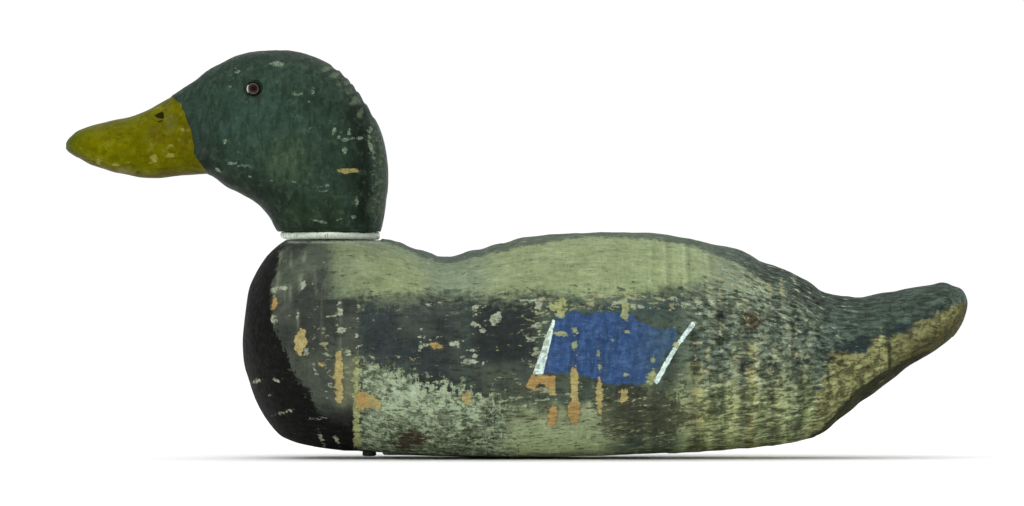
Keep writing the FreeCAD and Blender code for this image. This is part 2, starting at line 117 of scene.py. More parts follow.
def monotone(xs, ys, x):
    """Monotone cubic through (xs, ys)."""
    xs, ys = np.asarray(xs, float), np.asarray(ys, float)
    h = np.diff(xs)
    d = np.diff(ys) / h
    m = np.zeros(len(xs))
    m[0], m[-1] = d[0], d[-1]
    for i in range(1, len(xs) - 1):
        if d[i - 1] * d[i] > 0:
            w1, w2 = 2 * h[i] + h[i - 1], h[i] + 2 * h[i - 1]
            m[i] = (w1 + w2) / (w1 / d[i - 1] + w2 / d[i])
    x = np.clip(x, xs[0], xs[-1])
    k = np.clip(np.searchsorted(xs, x) - 1, 0, len(h) - 1)
    t = (x - xs[k]) / h[k]
    return (
        (2 * t**3 - 3 * t**2 + 1) * ys[k]
        + (t**3 - 2 * t**2 + t) * h[k] * m[k]
        + (-2 * t**3 + 3 * t**2) * ys[k + 1]
        + (t**3 - t**2) * h[k] * m[k + 1]
    )


def spline(xs, ys, x):
    """Natural cubic through (xs, ys)."""
    xs, ys = np.asarray(xs, float), np.asarray(ys, float)
    n = len(xs)
    h = np.diff(xs)
    a = np.eye(n)
    r = np.zeros(n)
    for i in range(1, n - 1):
        a[i, i - 1], a[i, i], a[i, i + 1] = h[i - 1], 2 * (h[i - 1] + h[i]), h[i]
        r[i] = 6 * ((ys[i + 1] - ys[i]) / h[i] - (ys[i] - ys[i - 1]) / h[i - 1])
    m = np.linalg.solve(a, r)
    x = np.clip(x, xs[0], xs[-1])
    k = np.clip(np.searchsorted(xs, x) - 1, 0, n - 2)
    t0, t1 = xs[k + 1] - x, x - xs[k]
    return (
        (m[k] * t0**3 + m[k + 1] * t1**3) / (6 * h[k])
        + (ys[k] / h[k] - m[k] * h[k] / 6) * t0
        + (ys[k + 1] / h[k] - m[k + 1] * h[k] / 6) * t1
    )


def grid_normals(p):
    """Outward normals of a grid (rows along, columns round, wrapped)."""
    du = np.gradient(p, axis=0)
    dv = np.roll(p, -1, 1) - np.roll(p, 1, 1)
    n = np.cross(du, dv)
    n /= np.maximum(np.linalg.norm(n, axis=2, keepdims=True), 1e-9)
    centre = p.mean(1, keepdims=True)
    if ((p - centre) * n).sum() < 0:
        n = -n
    return n


def grid_mesh(name, p, close_start=True, close_end=True):
    """Closed tube mesh from a grid in millimetres; the ends are closed by a fan."""
    rows, cols = p.shape[:2]
    verts = p.reshape(-1, 3)
    r, c = np.meshgrid(np.arange(rows - 1), np.arange(cols), indexing="ij")
    c2 = (c + 1) % cols
    quads = np.stack([r * cols + c, r * cols + c2, (r + 1) * cols + c2, (r + 1) * cols + c], -1).reshape(-1, 4)
    faces = [tuple(int(i) for i in q) for q in quads]
    extra = []
    if close_start:
        extra.append(p[0].mean(0))
        k = rows * cols + len(extra) - 1
        faces += [(k, (j + 1) % cols, j) for j in range(cols)]
    if close_end:
        extra.append(p[-1].mean(0))
        k = rows * cols + len(extra) - 1
        base = (rows - 1) * cols
        faces += [(k, base + j, base + (j + 1) % cols) for j in range(cols)]
    if extra:
        verts = np.vstack([verts, np.array(extra)])
    me = bpy.data.meshes.new(name)
    me.from_pydata((verts * 0.001).tolist(), [], faces)
    me.update()
    bm = bmesh.new()
    bm.from_mesh(me)
    bmesh.ops.recalc_face_normals(bm, faces=bm.faces)
    bm.to_mesh(me)
    bm.free()
    ob = bpy.data.objects.new(name, me)
    bpy.context.scene.collection.objects.link(ob)
    return ob


def subtract(ob, cutters):
    """Cuts closed meshes out of ob and removes them."""
    for c in cutters:
        m = ob.modifiers.new("cut", "BOOLEAN")
        m.operation = "DIFFERENCE"
        m.solver = "EXACT"
        m.object = c
    dg = bpy.context.evaluated_depsgraph_get()
    me = bpy.data.meshes.new_from_object(ob.evaluated_get(dg))
    ob.modifiers.clear()
    ob.data = me
    for c in cutters:
        bpy.data.objects.remove(c)
    return ob


def rod(name, radius, a, b, sides=72):
    """Closed cylinder from a to b, millimetres."""
    a, b = Vector(a) * 0.001, Vector(b) * 0.001
    bm = bmesh.new()
    bmesh.ops.create_cone(bm, cap_ends=True, segments=sides, radius1=radius * 0.001,
                          radius2=radius * 0.001, depth=(b - a).length)
    q = Vector((0, 0, 1)).rotation_difference(b - a).to_matrix().to_4x4()
    bm.transform(Matrix.Translation((a + b) / 2) @ q)
    me = bpy.data.meshes.new(name)
    bm.to_mesh(me)
    bm.free()
    ob = bpy.data.objects.new(name, me)
    bpy.context.scene.collection.objects.link(ob)
    return ob


def block(name, low, high):
    bm = bmesh.new()
    bmesh.ops.create_cube(bm, size=1)
    lo, hi = Vector(low) * 0.001, Vector(high) * 0.001
    for v in bm.verts:
        v.co = Vector([(lo[i] + hi[i]) / 2 + v.co[i] * (hi[i] - lo[i]) for i in range(3)])
    me = bpy.data.meshes.new(name)
    bm.to_mesh(me)
    bm.free()
    ob = bpy.data.objects.new(name, me)
    bpy.context.scene.collection.objects.link(ob)
    return ob


def shade_smooth(ob, angle=40):
    me = ob.data
    me.polygons.foreach_set("use_smooth", [True] * len(me.polygons))
    me.set_sharp_from_angle(angle=math.radians(angle))
    me.update()


def coords(ob):
    """Vertex places in millimetres."""
    co = np.zeros(len(ob.data.vertices) * 3, np.float32)
    ob.data.vertices.foreach_get("co", co)
    return co.reshape(-1, 3).astype(float) * 1000


def put(ob, name, values):
    """A number per vertex."""
    a = ob.data.attributes.get(name) or ob.data.attributes.new(name, "FLOAT", "POINT")
    a.data.foreach_set("value", np.asarray(values, np.float32))


def put_colour(ob, name, rgb):
    """A colour per vertex, given as screen values 0 to 255 and kept linear."""
    c = np.clip(rgb / 255.0, 0, 1)
    lin = np.where(c <= 0.04045, c / 12.92, ((c + 0.055) / 1.055) ** 2.4)
    a = ob.data.attributes.get(name) or ob.data.attributes.new(name, "FLOAT_COLOR", "POINT")
    full = np.ones((len(lin), 4), np.float32)
    full[:, :3] = lin * GAIN
    a.data.foreach_set("color", full.ravel())


def inside_of(points, x, y):
    """Signed distance to a polygon, positive inside, in drawing units."""
    pts = np.asarray(points, float)
    best = np.full(len(x), 1e9)
    inside = np.zeros(len(x), bool)
    n = len(pts)
    for i in range(n):
        ax, ay = pts[i]
        bx, by = pts[(i + 1) % n]
        ex, ey = bx - ax, by - ay
        t = np.clip(((x - ax) * ex + (y - ay) * ey) / (ex * ex + ey * ey), 0, 1)
        best = np.minimum(best, np.hypot(x - ax - t * ex, y - ay - t * ey))
        cross = ((ay > y) != (by > y)) & (x < (bx - ax) * (y - ay) / (by - ay + 1e-12) + ax)
        inside ^= cross
    return np.where(inside, best, -best)


def spots_of(spots, x, y):
    """Highest signed distance to a list of ovals (x, y, half width, half height, turn)."""
    best = np.full(len(x), -60.0)
    for s in spots:
        cx, cy, rx, ry = s[:4]
        a = math.radians(s[4]) if len(s) > 4 else 0.0
        dx, dy = x - cx, y - cy
        px = dx * math.cos(a) + dy * math.sin(a)
        py = -dx * math.sin(a) + dy * math.cos(a)
        best = np.maximum(best, (1 - np.sqrt((px / rx) ** 2 + (py / ry) ** 2)) * min(rx, ry))
    return best


def blend(under, colour, w):
    return under * (1 - w[:, None]) + np.asarray(colour, float)[None, :] * w[:, None]


def screen(r, g, b):
    """A screen colour 0 to 255 as the linear colour a shader wants."""
    out = []
    for c in (r, g, b):
        c /= 255.0
        out.append(GAIN * (c / 12.92 if c <= 0.04045 else ((c + 0.055) / 1.055) ** 2.4))
    return (out[0], out[1], out[2], 1.0)


# ---------------------------------------------------------------------------
# Node helpers
# ---------------------------------------------------------------------------
class Nodes:
    def __init__(self, name):
        self.mat = bpy.data.materials.new(name)
        self.mat.use_nodes = True
        self.tree = self.mat.node_tree
        self.tree.nodes.clear()
        self.out = self.new("ShaderNodeOutputMaterial")
        self.bsdf = self.new("ShaderNodeBsdfPrincipled")
        self.link(self.bsdf.outputs["BSDF"], self.out.inputs["Surface"])
        self.where = self.new("ShaderNodeTexCoord").outputs["Object"]

    def new(self, kind):
        return self.tree.nodes.new(kind)

    def link(self, a, b):
        self.tree.links.new(a, b)

    def feed(self, socket, value):
        if isinstance(value, bpy.types.NodeSocket):
            self.link(value, socket)
        else:
            socket.default_value = value

    def attr(self, name, colour=False):
        n = self.new("ShaderNodeAttribute")
        n.attribute_name = name
        return n.outputs["Color"] if colour else n.outputs["Fac"]

    def calc(self, op, a, b=0.0, clamp=False):
        n = self.new("ShaderNodeMath")
        n.operation = op
        n.use_clamp = clamp
        self.feed(n.inputs[0], a)
        self.feed(n.inputs[1], b)
        return n.outputs[0]

    def add(self, a, b):
        return self.calc("ADD", a, b)

    def sub(self, a, b):
        return self.calc("SUBTRACT", a, b)

    def mul(self, a, b):
        return self.calc("MULTIPLY", a, b)

    def ramp(self, v, lo, hi, to_lo=0.0, to_hi=1.0):
        n = self.new("ShaderNodeMapRange")
        n.interpolation_type = "SMOOTHSTEP"
        self.feed(n.inputs["Value"], v)
        self.feed(n.inputs["From Min"], lo)
        self.feed(n.inputs["From Max"], hi)
        n.inputs["To Min"].default_value = to_lo
        n.inputs["To Max"].default_value = to_hi
        return n.outputs[0]

    def mix(self, w, a, b, kind="MIX"):
        n = self.new("ShaderNodeMix")
        n.data_type = "RGBA"
        n.blend_type = kind
        self.feed(n.inputs[0], w)
        self.feed(n.inputs[6], a)
        self.feed(n.inputs[7], b)
        return n.outputs[2]

    def stretch(self, x, y, z, of=None, off=(0, 0, 0)):
        """Places in millimetres times a stretch per axis."""
        n = self.new("ShaderNodeVectorMath")
        n.operation = "MULTIPLY_ADD"
        self.link(of or self.where, n.inputs[0])
        n.inputs[1].default_value = (1000 * x, 1000 * y, 1000 * z)
        n.inputs[2].default_value = off
        return n.outputs[0]

    def noise(self, vec, scale=1.0, detail=2.0, rough=0.5, bend=0.0):
        n = self.new("ShaderNodeTexNoise")
        n.noise_dimensions = "3D"
        self.link(vec, n.inputs["Vector"])
        n.inputs["Scale"].default_value = scale
        n.inputs["Detail"].default_value = detail
        n.inputs["Roughness"].default_value = rough
        n.inputs["Distortion"].default_value = bend
        return n.outputs["Fac"]

    def cells(self, vec, scale=1.0, feature="F1", out="Distance"):
        n = self.new("ShaderNodeTexVoronoi")
        n.feature = feature
        self.link(vec, n.inputs["Vector"])
        n.inputs["Scale"].default_value = scale
        return n.outputs[out]

    def bump(self, height, strength, distance_mm, below=None):
        n = self.new("ShaderNodeBump")
        n.inputs["Strength"].default_value = strength
        n.inputs["Distance"].default_value = distance_mm * 0.001
        self.feed(n.inputs["Height"], height)
        if below is not None:
            self.link(below, n.inputs["Normal"])
        return n.outputs[0]


# brightness of the surroundings low down and high up, and the soft lamps: name, where it stands, width in degrees, strength
WORLD_LOW = 1.03
WORLD_HIGH = 0.49
LAMPS = [
    ("key", (-0.30, -1.00, 0.75), 70, 1.00),
    ("far_side", (0.35, 1.00, 0.85), 80, 0.68),
    ("above", (0.0, -0.15, 1.0), 110, 1.26),
]


# ---------------------------------------------------------------------------
# Outlines (millimetres): back line, belly line, half breadth of the body
# ---------------------------------------------------------------------------
TOP = [
    (-130.8, 55.5), (-130.4, 61.5), (-129.3, 70.8), (-127.9, 79.9), (-124.8, 87.4), (-118.6, 96.9), (-110.7, 103.7),
    (-103.5, 107.6), (-89.1, 110.5), (-74.8, 108.6), (-64.8, 104.7), (-60.5, 104.1), (-57.6, 103.1), (-54.7, 102.4),
    (-51.9, 101.1), (-49.0, 99.9), (-46.1, 99.1), (-43.3, 98.3), (-40.4, 97.6), (-37.5, 96.3), (-34.7, 96.0),
    (-31.8, 95.9), (-28.9, 96.7), (-26.1, 97.6), (-23.2, 98.6), (-17.4, 99.5), (-11.7, 101.5), (-6.0, 102.4),
    (-0.2, 104.4), (5.5, 105.3), (14.1, 106.3), (19.8, 106.8), (31.3, 107.2), (42.8, 107.6), (54.3, 107.3),
    (62.9, 107.1), (71.5, 106.3), (77.2, 105.1), (82.9, 104.4), (88.7, 102.9), (97.3, 101.1), (105.9, 99.5),
    (111.6, 96.7), (117.3, 93.5), (123.1, 91.5), (128.8, 89.6), (134.6, 86.6), (140.3, 83.8), (146.0, 79.3),
    (151.8, 77.8), (157.5, 76.9), (163.2, 76.3), (169.0, 77.2), (174.7, 78.5), (180.4, 79.2), (186.2, 80.5),
    (191.9, 81.6), (197.7, 82.4), (203.4, 83.6), (209.1, 81.8), (212.0, 80.8), (214.9, 76.6), (215.4, 73.7),
]
LOW = [
    (-130.8, 55.5), (-130.1, 44.7), (-127.9, 37.1), (-125.5, 29.5), (-121.7, 21.8), (-117.1, 15.0), (-111.8, 9.7),
    (-106.5, 7.4), (-103.5, 6.5), (-97.8, 5.2), (-90.1, 4.0), (-82.5, 3.2), (-74.8, 2.8), (-67.2, 2.4),
    (-65.2, 2.2), (-55.7, 1.9), (-46.1, 1.6), (-36.6, 1.3), (-27.0, 1.1), (-17.4, 0.8), (-7.9, 0.6),
    (-0.2, 0.4), (9.3, 0.5), (18.9, 0.5), (30.4, 0.8), (39.9, 0.9), (49.5, 1.3), (62.9, 1.7),
    (72.4, 1.9), (82.0, 2.3), (87.7, 2.7), (95.4, 3.2), (101.1, 3.6), (106.8, 4.1), (112.6, 4.3),
    (118.3, 5.1), (126.0, 6.0), (131.7, 7.0), (137.4, 8.4), (141.2, 9.2), (145.1, 10.9), (148.9, 13.7),
    (152.7, 17.4), (156.5, 20.2), (160.4, 23.3), (163.2, 25.9), (169.0, 29.7), (174.7, 34.0), (180.4, 38.3),
    (186.2, 43.1), (191.9, 46.4), (197.7, 49.8), (203.4, 53.6), (209.1, 58.4), (214.9, 69.8), (215.4, 73.7),
]
HALF = [
    (-130.8, 2.0), (-130.3, 15.0), (-129.5, 22.5), (-127.9, 31.0), (-124.5, 39.5), (-118.6, 48.0), (-110.7, 55.5),
    (-101.1, 61.0), (-89.1, 65.5), (-79.6, 68.5), (-71.0, 70.5), (-62.4, 72.0), (-54.7, 73.0), (-46.1, 74.0),
    (-39.0, 74.5), (-31.8, 75.0), (-15.5, 75.0), (-0.2, 75.0), (20.8, 74.5), (42.8, 73.0), (63.8, 70.0),
    (82.9, 65.5), (104.4, 59.5), (118.8, 55.0), (130.7, 50.5), (141.2, 46.0), (146.0, 44.0), (151.8, 41.5),
    (159.4, 38.5), (169.0, 36.0), (178.5, 34.0), (188.1, 32.5), (197.7, 30.5), (205.3, 27.5), (210.6, 23.0),
    (213.9, 16.0), (215.4, 4.0),
]
X0, X1 = -130.8, 215.4
TURN_X = -89.2
SHELF_Z = 103.7
PITCH = 25.0          # ridge spacing, drawing units
PHASE = 574.0


def along(table):
    xs = np.array([a for a, _ in table])
    return np.arccos(np.clip(1 - 2 * (xs - X0) / (X1 - X0), -1, 1)), np.array([b for _, b in table])


def turning(x_units):
    """Distance from the nearest ridge crest, 0 on a crest and 1 half way between two."""
    t = (x_units - PHASE) / PITCH
    return np.abs(2 * (t - np.floor(t + 0.5)))


def build_body():
    nu, nv = 400, 240
    theta = np.linspace(0, math.pi, nu + 2)[1:-1]
    x = X0 + (X1 - X0) * (1 - np.cos(theta)) / 2
    zt, zl, hw = monotone(*along(TOP), theta), monotone(*along(LOW), theta), monotone(*along(HALF), theta)
    # the oval goes on below the planed sole and below the sawn slope under the tail
    deeper = 4.7 * np.clip(1 - (x / 75.0) ** 2, 0, 1) + 3.0 * smooth(140, 156, x) * (1 - smooth(196, 211, x))
    low = zl - deeper
    zc, hh = (zt + low) / 2, (zt - low) / 2
    n = 2.0 + 0.35 * smooth(120, 190, x)
    phi = np.linspace(0, 2 * math.pi, nv, endpoint=False)
    c, s = np.cos(phi), np.sin(phi)
    e = (2 / n)[:, None]
    yy = -hw[:, None] * np.sign(s)[None] * np.abs(s)[None] ** e
    zz = zc[:, None] + hh[:, None] * np.sign(c)[None] * np.abs(c)[None] ** e
    p = np.stack([np.repeat(x[:, None], nv, 1), yy, zz], -1)

    # lathe ridges, slow unevenness and torn grain, along the outward normal
    nrm = grid_normals(p)
    flat = p.reshape(-1, 3)
    ux = across(flat[:, 0]) + 1.6 * value_noise(flat / 30.0, 5)
    sharp = turning(ux)
    amp = 0.34 * (0.65 + 0.35 * value_noise(flat / np.array([40.0, 26.0, 26.0]), 9))
    ridge = amp * ((1 - sharp) ** 1.7 - 0.4)
    calm = smooth(-118, -95, flat[:, 0]) * (1 - 0.6 * smooth(170, 205, flat[:, 0]))
    d = ridge * calm
    d += 0.35 * fbm(flat / 28.0, 3, 2)
    d += 0.05 * value_noise(flat * np.array([0.42, 0.05, 0.05]), 8)
    aft = smooth(70, 105, flat[:, 0])
    torn = fbm(flat / np.array([7.5, 2.6, 2.6]), 21, 3, 0.6)
    d += aft * (0.42 * torn - 0.22 * np.maximum(0, torn - 0.22) * 3)
    d += 0.10 * fbm(flat / np.array([9.0, 2.4, 2.4]), 31, 2) * (1 - aft)
    # small splits and gouges that run with the grain
    gouge = value_noise(flat / np.array([16.0, 2.2, 2.2]), 44)
    d -= 0.55 * np.maximum(0, gouge - 0.66) * 3 * (0.35 + 0.65 * aft)
    d = d.reshape(nu, nv)
    fade = np.sin(theta)[:, None] ** 0.5
    p = p + nrm * (d * fade)[:, :, None]

    # tail: lowered flank behind the step, as the side view shows
    X, Y, Z = p[..., 0], p[..., 1], p[..., 2]
    step = smooth(176, 181, X) * (1 - smooth(206, 214, X)) * smooth(60, 50, Z) * smooth(4, 14, np.abs(Y))
    p[..., 1] = Y - np.sign(Y) * 1.2 * step

    # planed sole and sawn slope under the tail
    X, Z = p[..., 0], p[..., 2]
    sole = np.repeat(zl[:, None], nv, 1)
    uneven = 0.12 * fbm(p.reshape(-1, 3) / np.array([22.0, 5.0, 5.0]), 51, 2).reshape(nu, nv)
    kk = np.where(np.repeat((deeper > 0.3)[:, None], nv, 1), 0.9, 0.05)
    p[..., 2] = np.where(np.repeat((deeper > 0.05)[:, None], nv, 1), softmax(Z, sole + uneven * 0.6, kk), Z)
    # neck shelf
    near = (X > -121.6) & (X < -64.2)
    crust = 0.15 * (((X - TURN_X) ** 2 + p[..., 1] ** 2) < 21.0**2)
    p[..., 2] = np.where(near, softmin(p[..., 2], SHELF_Z + crust, 0.05), p[..., 2])

    ob = grid_mesh("body_shape", p)
    cutters = [
        rod("c1", 9.6, (TURN_X, 0, 53.7), (TURN_X, 0, 112)),
        rod("c2", 3.05, (TURN_X, 0, 29.0), (TURN_X, 0, 54.5), 32),
        rod("c3", 8.0, (TURN_X, 0, -10), (TURN_X, 0, 30.0)),
        block("c4", (-33.35 - 30.6, -19.15, -10), (-33.35 + 30.6, 19.15, 6.1)),
        block("c5", (-82.0, -5.0, -10), (-65.0, 5.0, 8.0)),
    ]
    subtract(ob, cutters)
    shade_smooth(ob, 50)
    return ob


SPECULUM = [(553, 330), (557, 315), (563, 312), (592, 313), (625, 312.5), (640, 320), (655, 328), (676, 329), (677, 337),
            (667, 352), (651, 378), (643, 385.5), (625, 384), (606, 384), (590, 379), (575, 371), (560, 373), (543, 374.5)]
BAR_FRONT = [(552.3, 319.5), (556, 318), (543, 374.5), (532.5, 374)]
BAR_REAR = [(691.5, 322), (695.8, 321.5), (695, 326), (679, 346), (657, 385), (653.5, 381), (672, 349)]
WOOD = [
    [(531, 375.5), (554, 374.5), (555, 383), (555.5, 395), (549, 396), (548, 386), (540, 383.5), (534, 388), (524.5, 388), (527, 382)],
    [(571, 367), (576.5, 366), (578, 378), (577.5, 392), (580, 404), (579.5, 420), (575, 424.5), (568, 419), (567, 408), (572, 400), (570.5, 388)],
    [(597.5, 378), (600, 376), (602.5, 388), (603, 402), (600.5, 414), (597, 408), (595, 396)],
    [(620.5, 388), (626.5, 386.5), (628, 396), (625, 403.5), (620, 402)],
    [(550, 408), (556, 404), (557, 418), (554, 426), (547, 424), (548.5, 415)],
    [(295, 338), (300, 327.5), (305, 330), (307.5, 342), (303, 350), (301.5, 355.5), (295.5, 353), (294, 346)],
    [(336, 352), (341.5, 350), (343, 372), (343.5, 396), (340, 404), (335, 401), (334, 380)],
    [(357, 392), (364, 391), (381, 400), (380, 409), (366, 408), (357, 411), (355, 402)],
    [(431, 344), (439, 341.5), (443.5, 346), (440, 349), (432, 348)],
    [(272.5, 299), (276.5, 297), (277, 308), (274.5, 312.5), (271.5, 309)],
    [(463, 393), (471, 392), (472, 402), (466, 404.5), (462.5, 400)],
    [(318, 362), (324, 361), (323.5, 365.5), (318.5, 365.5)],
]
OCHRE = [
    [(556, 300), (566, 298), (568, 308), (562, 318), (555, 316)],
    [(621, 300), (627, 297), (629, 306), (626, 320), (621, 313)],
    [(353.0, 385), (355.5, 356), (360, 356), (359.6, 380), (359.4, 410), (361, 447), (353.5, 448), (353.6, 410)],
]
OCHRE_SPOTS = [(881.5, 343, 2.8, 11), (560, 333, 5, 2.2), (576, 331, 3, 4), (625, 316, 3.5, 4.5), (626, 332, 3, 2), (652.5, 359, 2.6, 2.4),
               (598, 353, 1.5, 3.5), (612, 341, 2, 1.5), (676.5, 346, 3, 3.4), (651.5, 378, 3.6, 8, 20),
               (575, 345, 1.4, 5), (600, 366, 1.5, 4), (626, 374, 2.5, 2), (553, 308, 4, 5)]
PALE_SPOTS = [(340, 312, 3, 4), (341, 331, 4, 3), (339, 304, 1.5, 2), (358, 305, 1.2, 1.2), (358, 322, 1.2, 1.8),
              (357.5, 335, 1.5, 2.5), (358, 346, 1.2, 2), (474, 325, 3.5, 3), (483, 330, 4, 1.8), (423, 345, 4, 1),
              (420, 349, 2, 1.5), (432, 338, 6, 1), (455, 344, 4, 1.2), (470, 350, 6, 1.6), (462, 341, 3, 1),
              (470, 362, 8, 2), (476, 356, 3, 1.5), (462, 356, 2, 1), (432, 304, 6, 2, -12), 
              (274.5, 297, 1.4, 3), (303, 285, 3, 3.5), (298, 314, 1.8, 4), (274, 319, 2, 4),
              (306, 352, 3, 5), (315, 370, 1.5, 4), (274, 290, 3.4, 3), (283, 288, 3, 2),
              (345, 353, 4, 1.2), (494, 320, 4, 5), (276, 380, 2.5, 1), (257, 381, 4, 1.2, -20), (268, 395, 2, 0.8),
              (286, 412, 5, 1, -15), (318, 418, 4, 0.9, -10), (321, 438, 1.4, 6, -25), (337, 441, 1, 4, -25),
              (480, 307, 6, 1.5), (540, 330, 3, 2), (700, 312, 3, 2), (538, 305, 4, 6), (498, 318, 3, 6)]


def seen_from_side(q):
    """Across and down in the side view, with a near flank drawn a little larger than the middle."""
    k = 5000.0 / (5000.0 - np.abs(q[:, 1]))
    return 512.0 + (across(q[:, 0]) - 512.0) * k, 252.9 + (down(q[:, 2]) - 252.9) * k


def paint_body(ob):
    q = coords(ob)
    X, Y, Z = q[:, 0], q[:, 1], q[:, 2]
    x, y = seen_from_side(q)
    y_true = down(Z)
    right = Y > 0
    # the unseen side is painted the same way by hand, so nothing falls in quite the same place
    x = np.where(right, x + 5 * value_noise(q / 40.0, 64) + 3, x)
    y = np.where(right, y + 3 * value_noise(q / 40.0, 65), y)
    top = down(monotone(*along(TOP), np.arccos(np.clip(1 - 2 * (X - X0) / (X1 - X0), -1, 1))))
    nA, nB = fbm(q / 20.0, 71, 3), fbm(q / 6.0, 72, 3)
    nV = fbm(q / np.array([2.6, 12.0, 12.0]), 73, 3)      # streaks round the body
    nH = fbm(q / np.array([12.0, 2.4, 2.4]), 74, 3)       # streaks along the grain
    crest = 1 - turning(across(X))                         # 1 on a ridge
    half_crest = 1 - np.abs(2 * (((across(X) - PHASE) / (PITCH / 2)) % 1) - 1)

    # ground: dark slate band, then the darker strip under the wing, then the torn grey-green rear
    col = np.tile(np.array([90.0, 103, 88]), (len(q), 1))
    slate = smooth(318, 345, x) * (1 - smooth(520, 556, x + 8 * nA))
    col = blend(col, (66, 75, 69), slate)
    dark_core = smooth(458, 486, x + 14 * nB + 6 * nA) * (1 - smooth(532, 544, x + 4 * nB)) * smooth(290, 306, y) * (1 - smooth(352, 372, y + 6 * nB))
    col = blend(col, (43, 48, 48), np.maximum(dark_core * 0.85, slate * smooth(0.05, 0.45, nA + 0.5 * nB) * 0.6))
    bluish = smooth(-3, 4, spots_of([(433, 370, 11, 13), (480, 385, 6, 20), (380, 322, 18, 20), (400, 350, 26, 12)], x, y) + 5 * nB)
    col = blend(col, (52, 60, 62), bluish * 0.65)
    mid = smooth(520, 556, x) * (1 - smooth(672, 705, x + (14 * nB + 10 * nA) * smooth(325, 350, y)))
    col = blend(col, (76, 88, 74), mid)
    col = blend(col, (54, 62, 56), mid * smooth(0.0, 0.4, nB + nH * 0.6) * 0.7)
    col = blend(col, (66, 84, 84), smooth(560, 600, x) * (1 - smooth(668, 690, x)) * smooth(294, 302, y) * smooth(322, 312, y) * 0.6)
    rear = smooth(676, 706, x + (14 * nB + 10 * nA) * smooth(325, 350, y))
    col = blend(col, (118, 132, 112), rear)
    col = blend(col, (82, 98, 90), rear * smooth(0.0, 0.4, nH + 0.5 * nB) * 0.8)
    col = blend(col, (126, 140, 114), rear * smooth(0.1, 0.5, -nH + 0.4 * nV) * 0.6)
    col = blend(col, (88, 106, 96), smooth(790, 830, x) * 0.6)
    upper_rear = smooth(700, 730, x) * (1 - smooth(770, 800, x)) * smooth(318, 280, y)
    col = blend(col, (166, 181, 148), upper_rear * 0.95)
    belly = smooth(398, 408, y + 8 * nV + 4 * nB) * smooth(486, 512, x + 10 * nA) * (1 - smooth(598, 640, x + 12 * nB))
    olive = np.tile(np.array([148.0, 160, 122]), (len(q), 1)) + (5 * nA + 6 * nB + 4 * nH)[:, None]
    col = col * (1 - belly[:, None]) + olive * belly[:, None]
    under = smooth(356, 372, y) * (1 - smooth(408, 428, y + 10 * nB)) * smooth(462, 480, x) * (1 - smooth(560, 590, x))
    col = blend(col, (78, 84, 68), under * smooth(-0.3, 0.2, nB) * 0.8)
    low_rear = smooth(652, 708, x + 22 * nB + 12 * nA) * smooth(366, 412, y + 16 * nB)
    col = blend(col, (174, 184, 130), low_rear * 0.9)
    col = blend(col, (128, 141, 96), low_rear * smooth(0.1, 0.45, nH + 0.3 * nB) * 0.6)
    for cx, wd, s in ((697, 7, 0.85), (751, 6.5, 1.0), (733, 4, 0.45), (777, 5, 0.45), (647, 5, 0.45), (806, 4, 0.3)):
        band = np.exp(-(((x + 2.0 * nB - cx) / wd) ** 2)) * smooth(325, 360, y + 14 * nB) * smooth(0.6, -0.2, nH + nB * 0.5)
        col = blend(col, (174, 172, 118), band * s)
    nW = fbm(q / np.array([4.0, 26.0, 26.0]), 75, 3)     # broad bands round the log
    col = blend(col, (84, 96, 64), smooth(0.02, 0.32, nW + 0.25 * nB) * smooth(672, 700, x) * smooth(346, 372, y) * (1 - smooth(800, 826, x)) * 0.62)
    # painted light and shade across the lathe ridges of the rear: lighter on each ridge and darker in each furrow, with
    # a painted highlight line on each ridge and a painted shade line just behind it
    ridge_light_and_shade = np.cos(2 * math.pi * (x + 3 * nA - 707) / 25.0) * smooth(640, 680, x) * (1 - smooth(800, 830, x)) * smooth(275, 320, y)
    step = ((x + 3 * nA - 690) / 25.0) % 1
    ridge_highlight = np.exp(-((step / 0.09) ** 2)) + np.exp(-(((step - 1) / 0.09) ** 2))
    lit = smooth(676, 700, x) * (1 - smooth(806, 836, x)) * smooth(262, 300, y) * smooth(-0.5, 0.2, nV + nB)
    col = blend(col, (166, 172, 132), ridge_highlight * lit * 0.5)
    col = blend(col, (62, 76, 66), np.exp(-(((step - 0.24) / 0.11) ** 2)) * lit * 0.45)
    col = col * (1 + 0.09 * ridge_light_and_shade)[:, None]
    flute = np.cos(2 * math.pi * (y - 0.10 * (x - 700) + 4 * nA) / 9.0) * smooth(700, 760, x) * smooth(385, 410, y)
    col = col * (1 + 0.07 * flute)[:, None]
    spot = smooth(-2.5, 2.0, spots_of([(752, 321, 9.5, 9.5)], x + 1.5 * nB, y + nH * 1.5))
    col = blend(col, (88, 80, 62), spot * 0.85)
    stain = smooth(-2, 3, spots_of([(413, 438, 13, 9), (404, 445, 9, 5)], x + 3 * nB, y + 3 * nH))

    # olive lower tail
    belly_line = np.interp(x, [800, 820, 836, 852, 870, 894, 918, 942, 954, 966], [440, 434, 421, 408, 395, 377, 360, 345, 335, 311])
    gold = np.tile(np.array([146.0, 148, 100]), (len(q), 1))
    gold = blend(gold, (140, 140, 94), smooth(0.1, 0.5, -nH) * 0.5)
    gold = blend(gold, (84, 85, 50), smooth(0.10, 0.45, nH + 0.3 * nB) * 0.7)
    gold = blend(gold, (116, 116, 76), smooth(888, 905, x) * 0.5)
    # darker towards the belly line at the end of the tail: painted shade on its down-facing underside
    gold = blend(gold, (70, 66, 34), smooth(26, 6, belly_line - y) * smooth(884, 912, x) * 0.85)
    gold = blend(gold, (40, 42, 30), np.exp(-(((x - 889.5 - 0.02 * (y - 350)) / 1.8) ** 2)) * smooth(338, 345, y) * smooth(374, 364, y) * 0.9)
    gold = blend(gold, (156, 152, 96), np.exp(-(((x - 882.0) / 3.2) ** 2)) * smooth(334, 340, y) * smooth(366, 350, y) * 0.7)

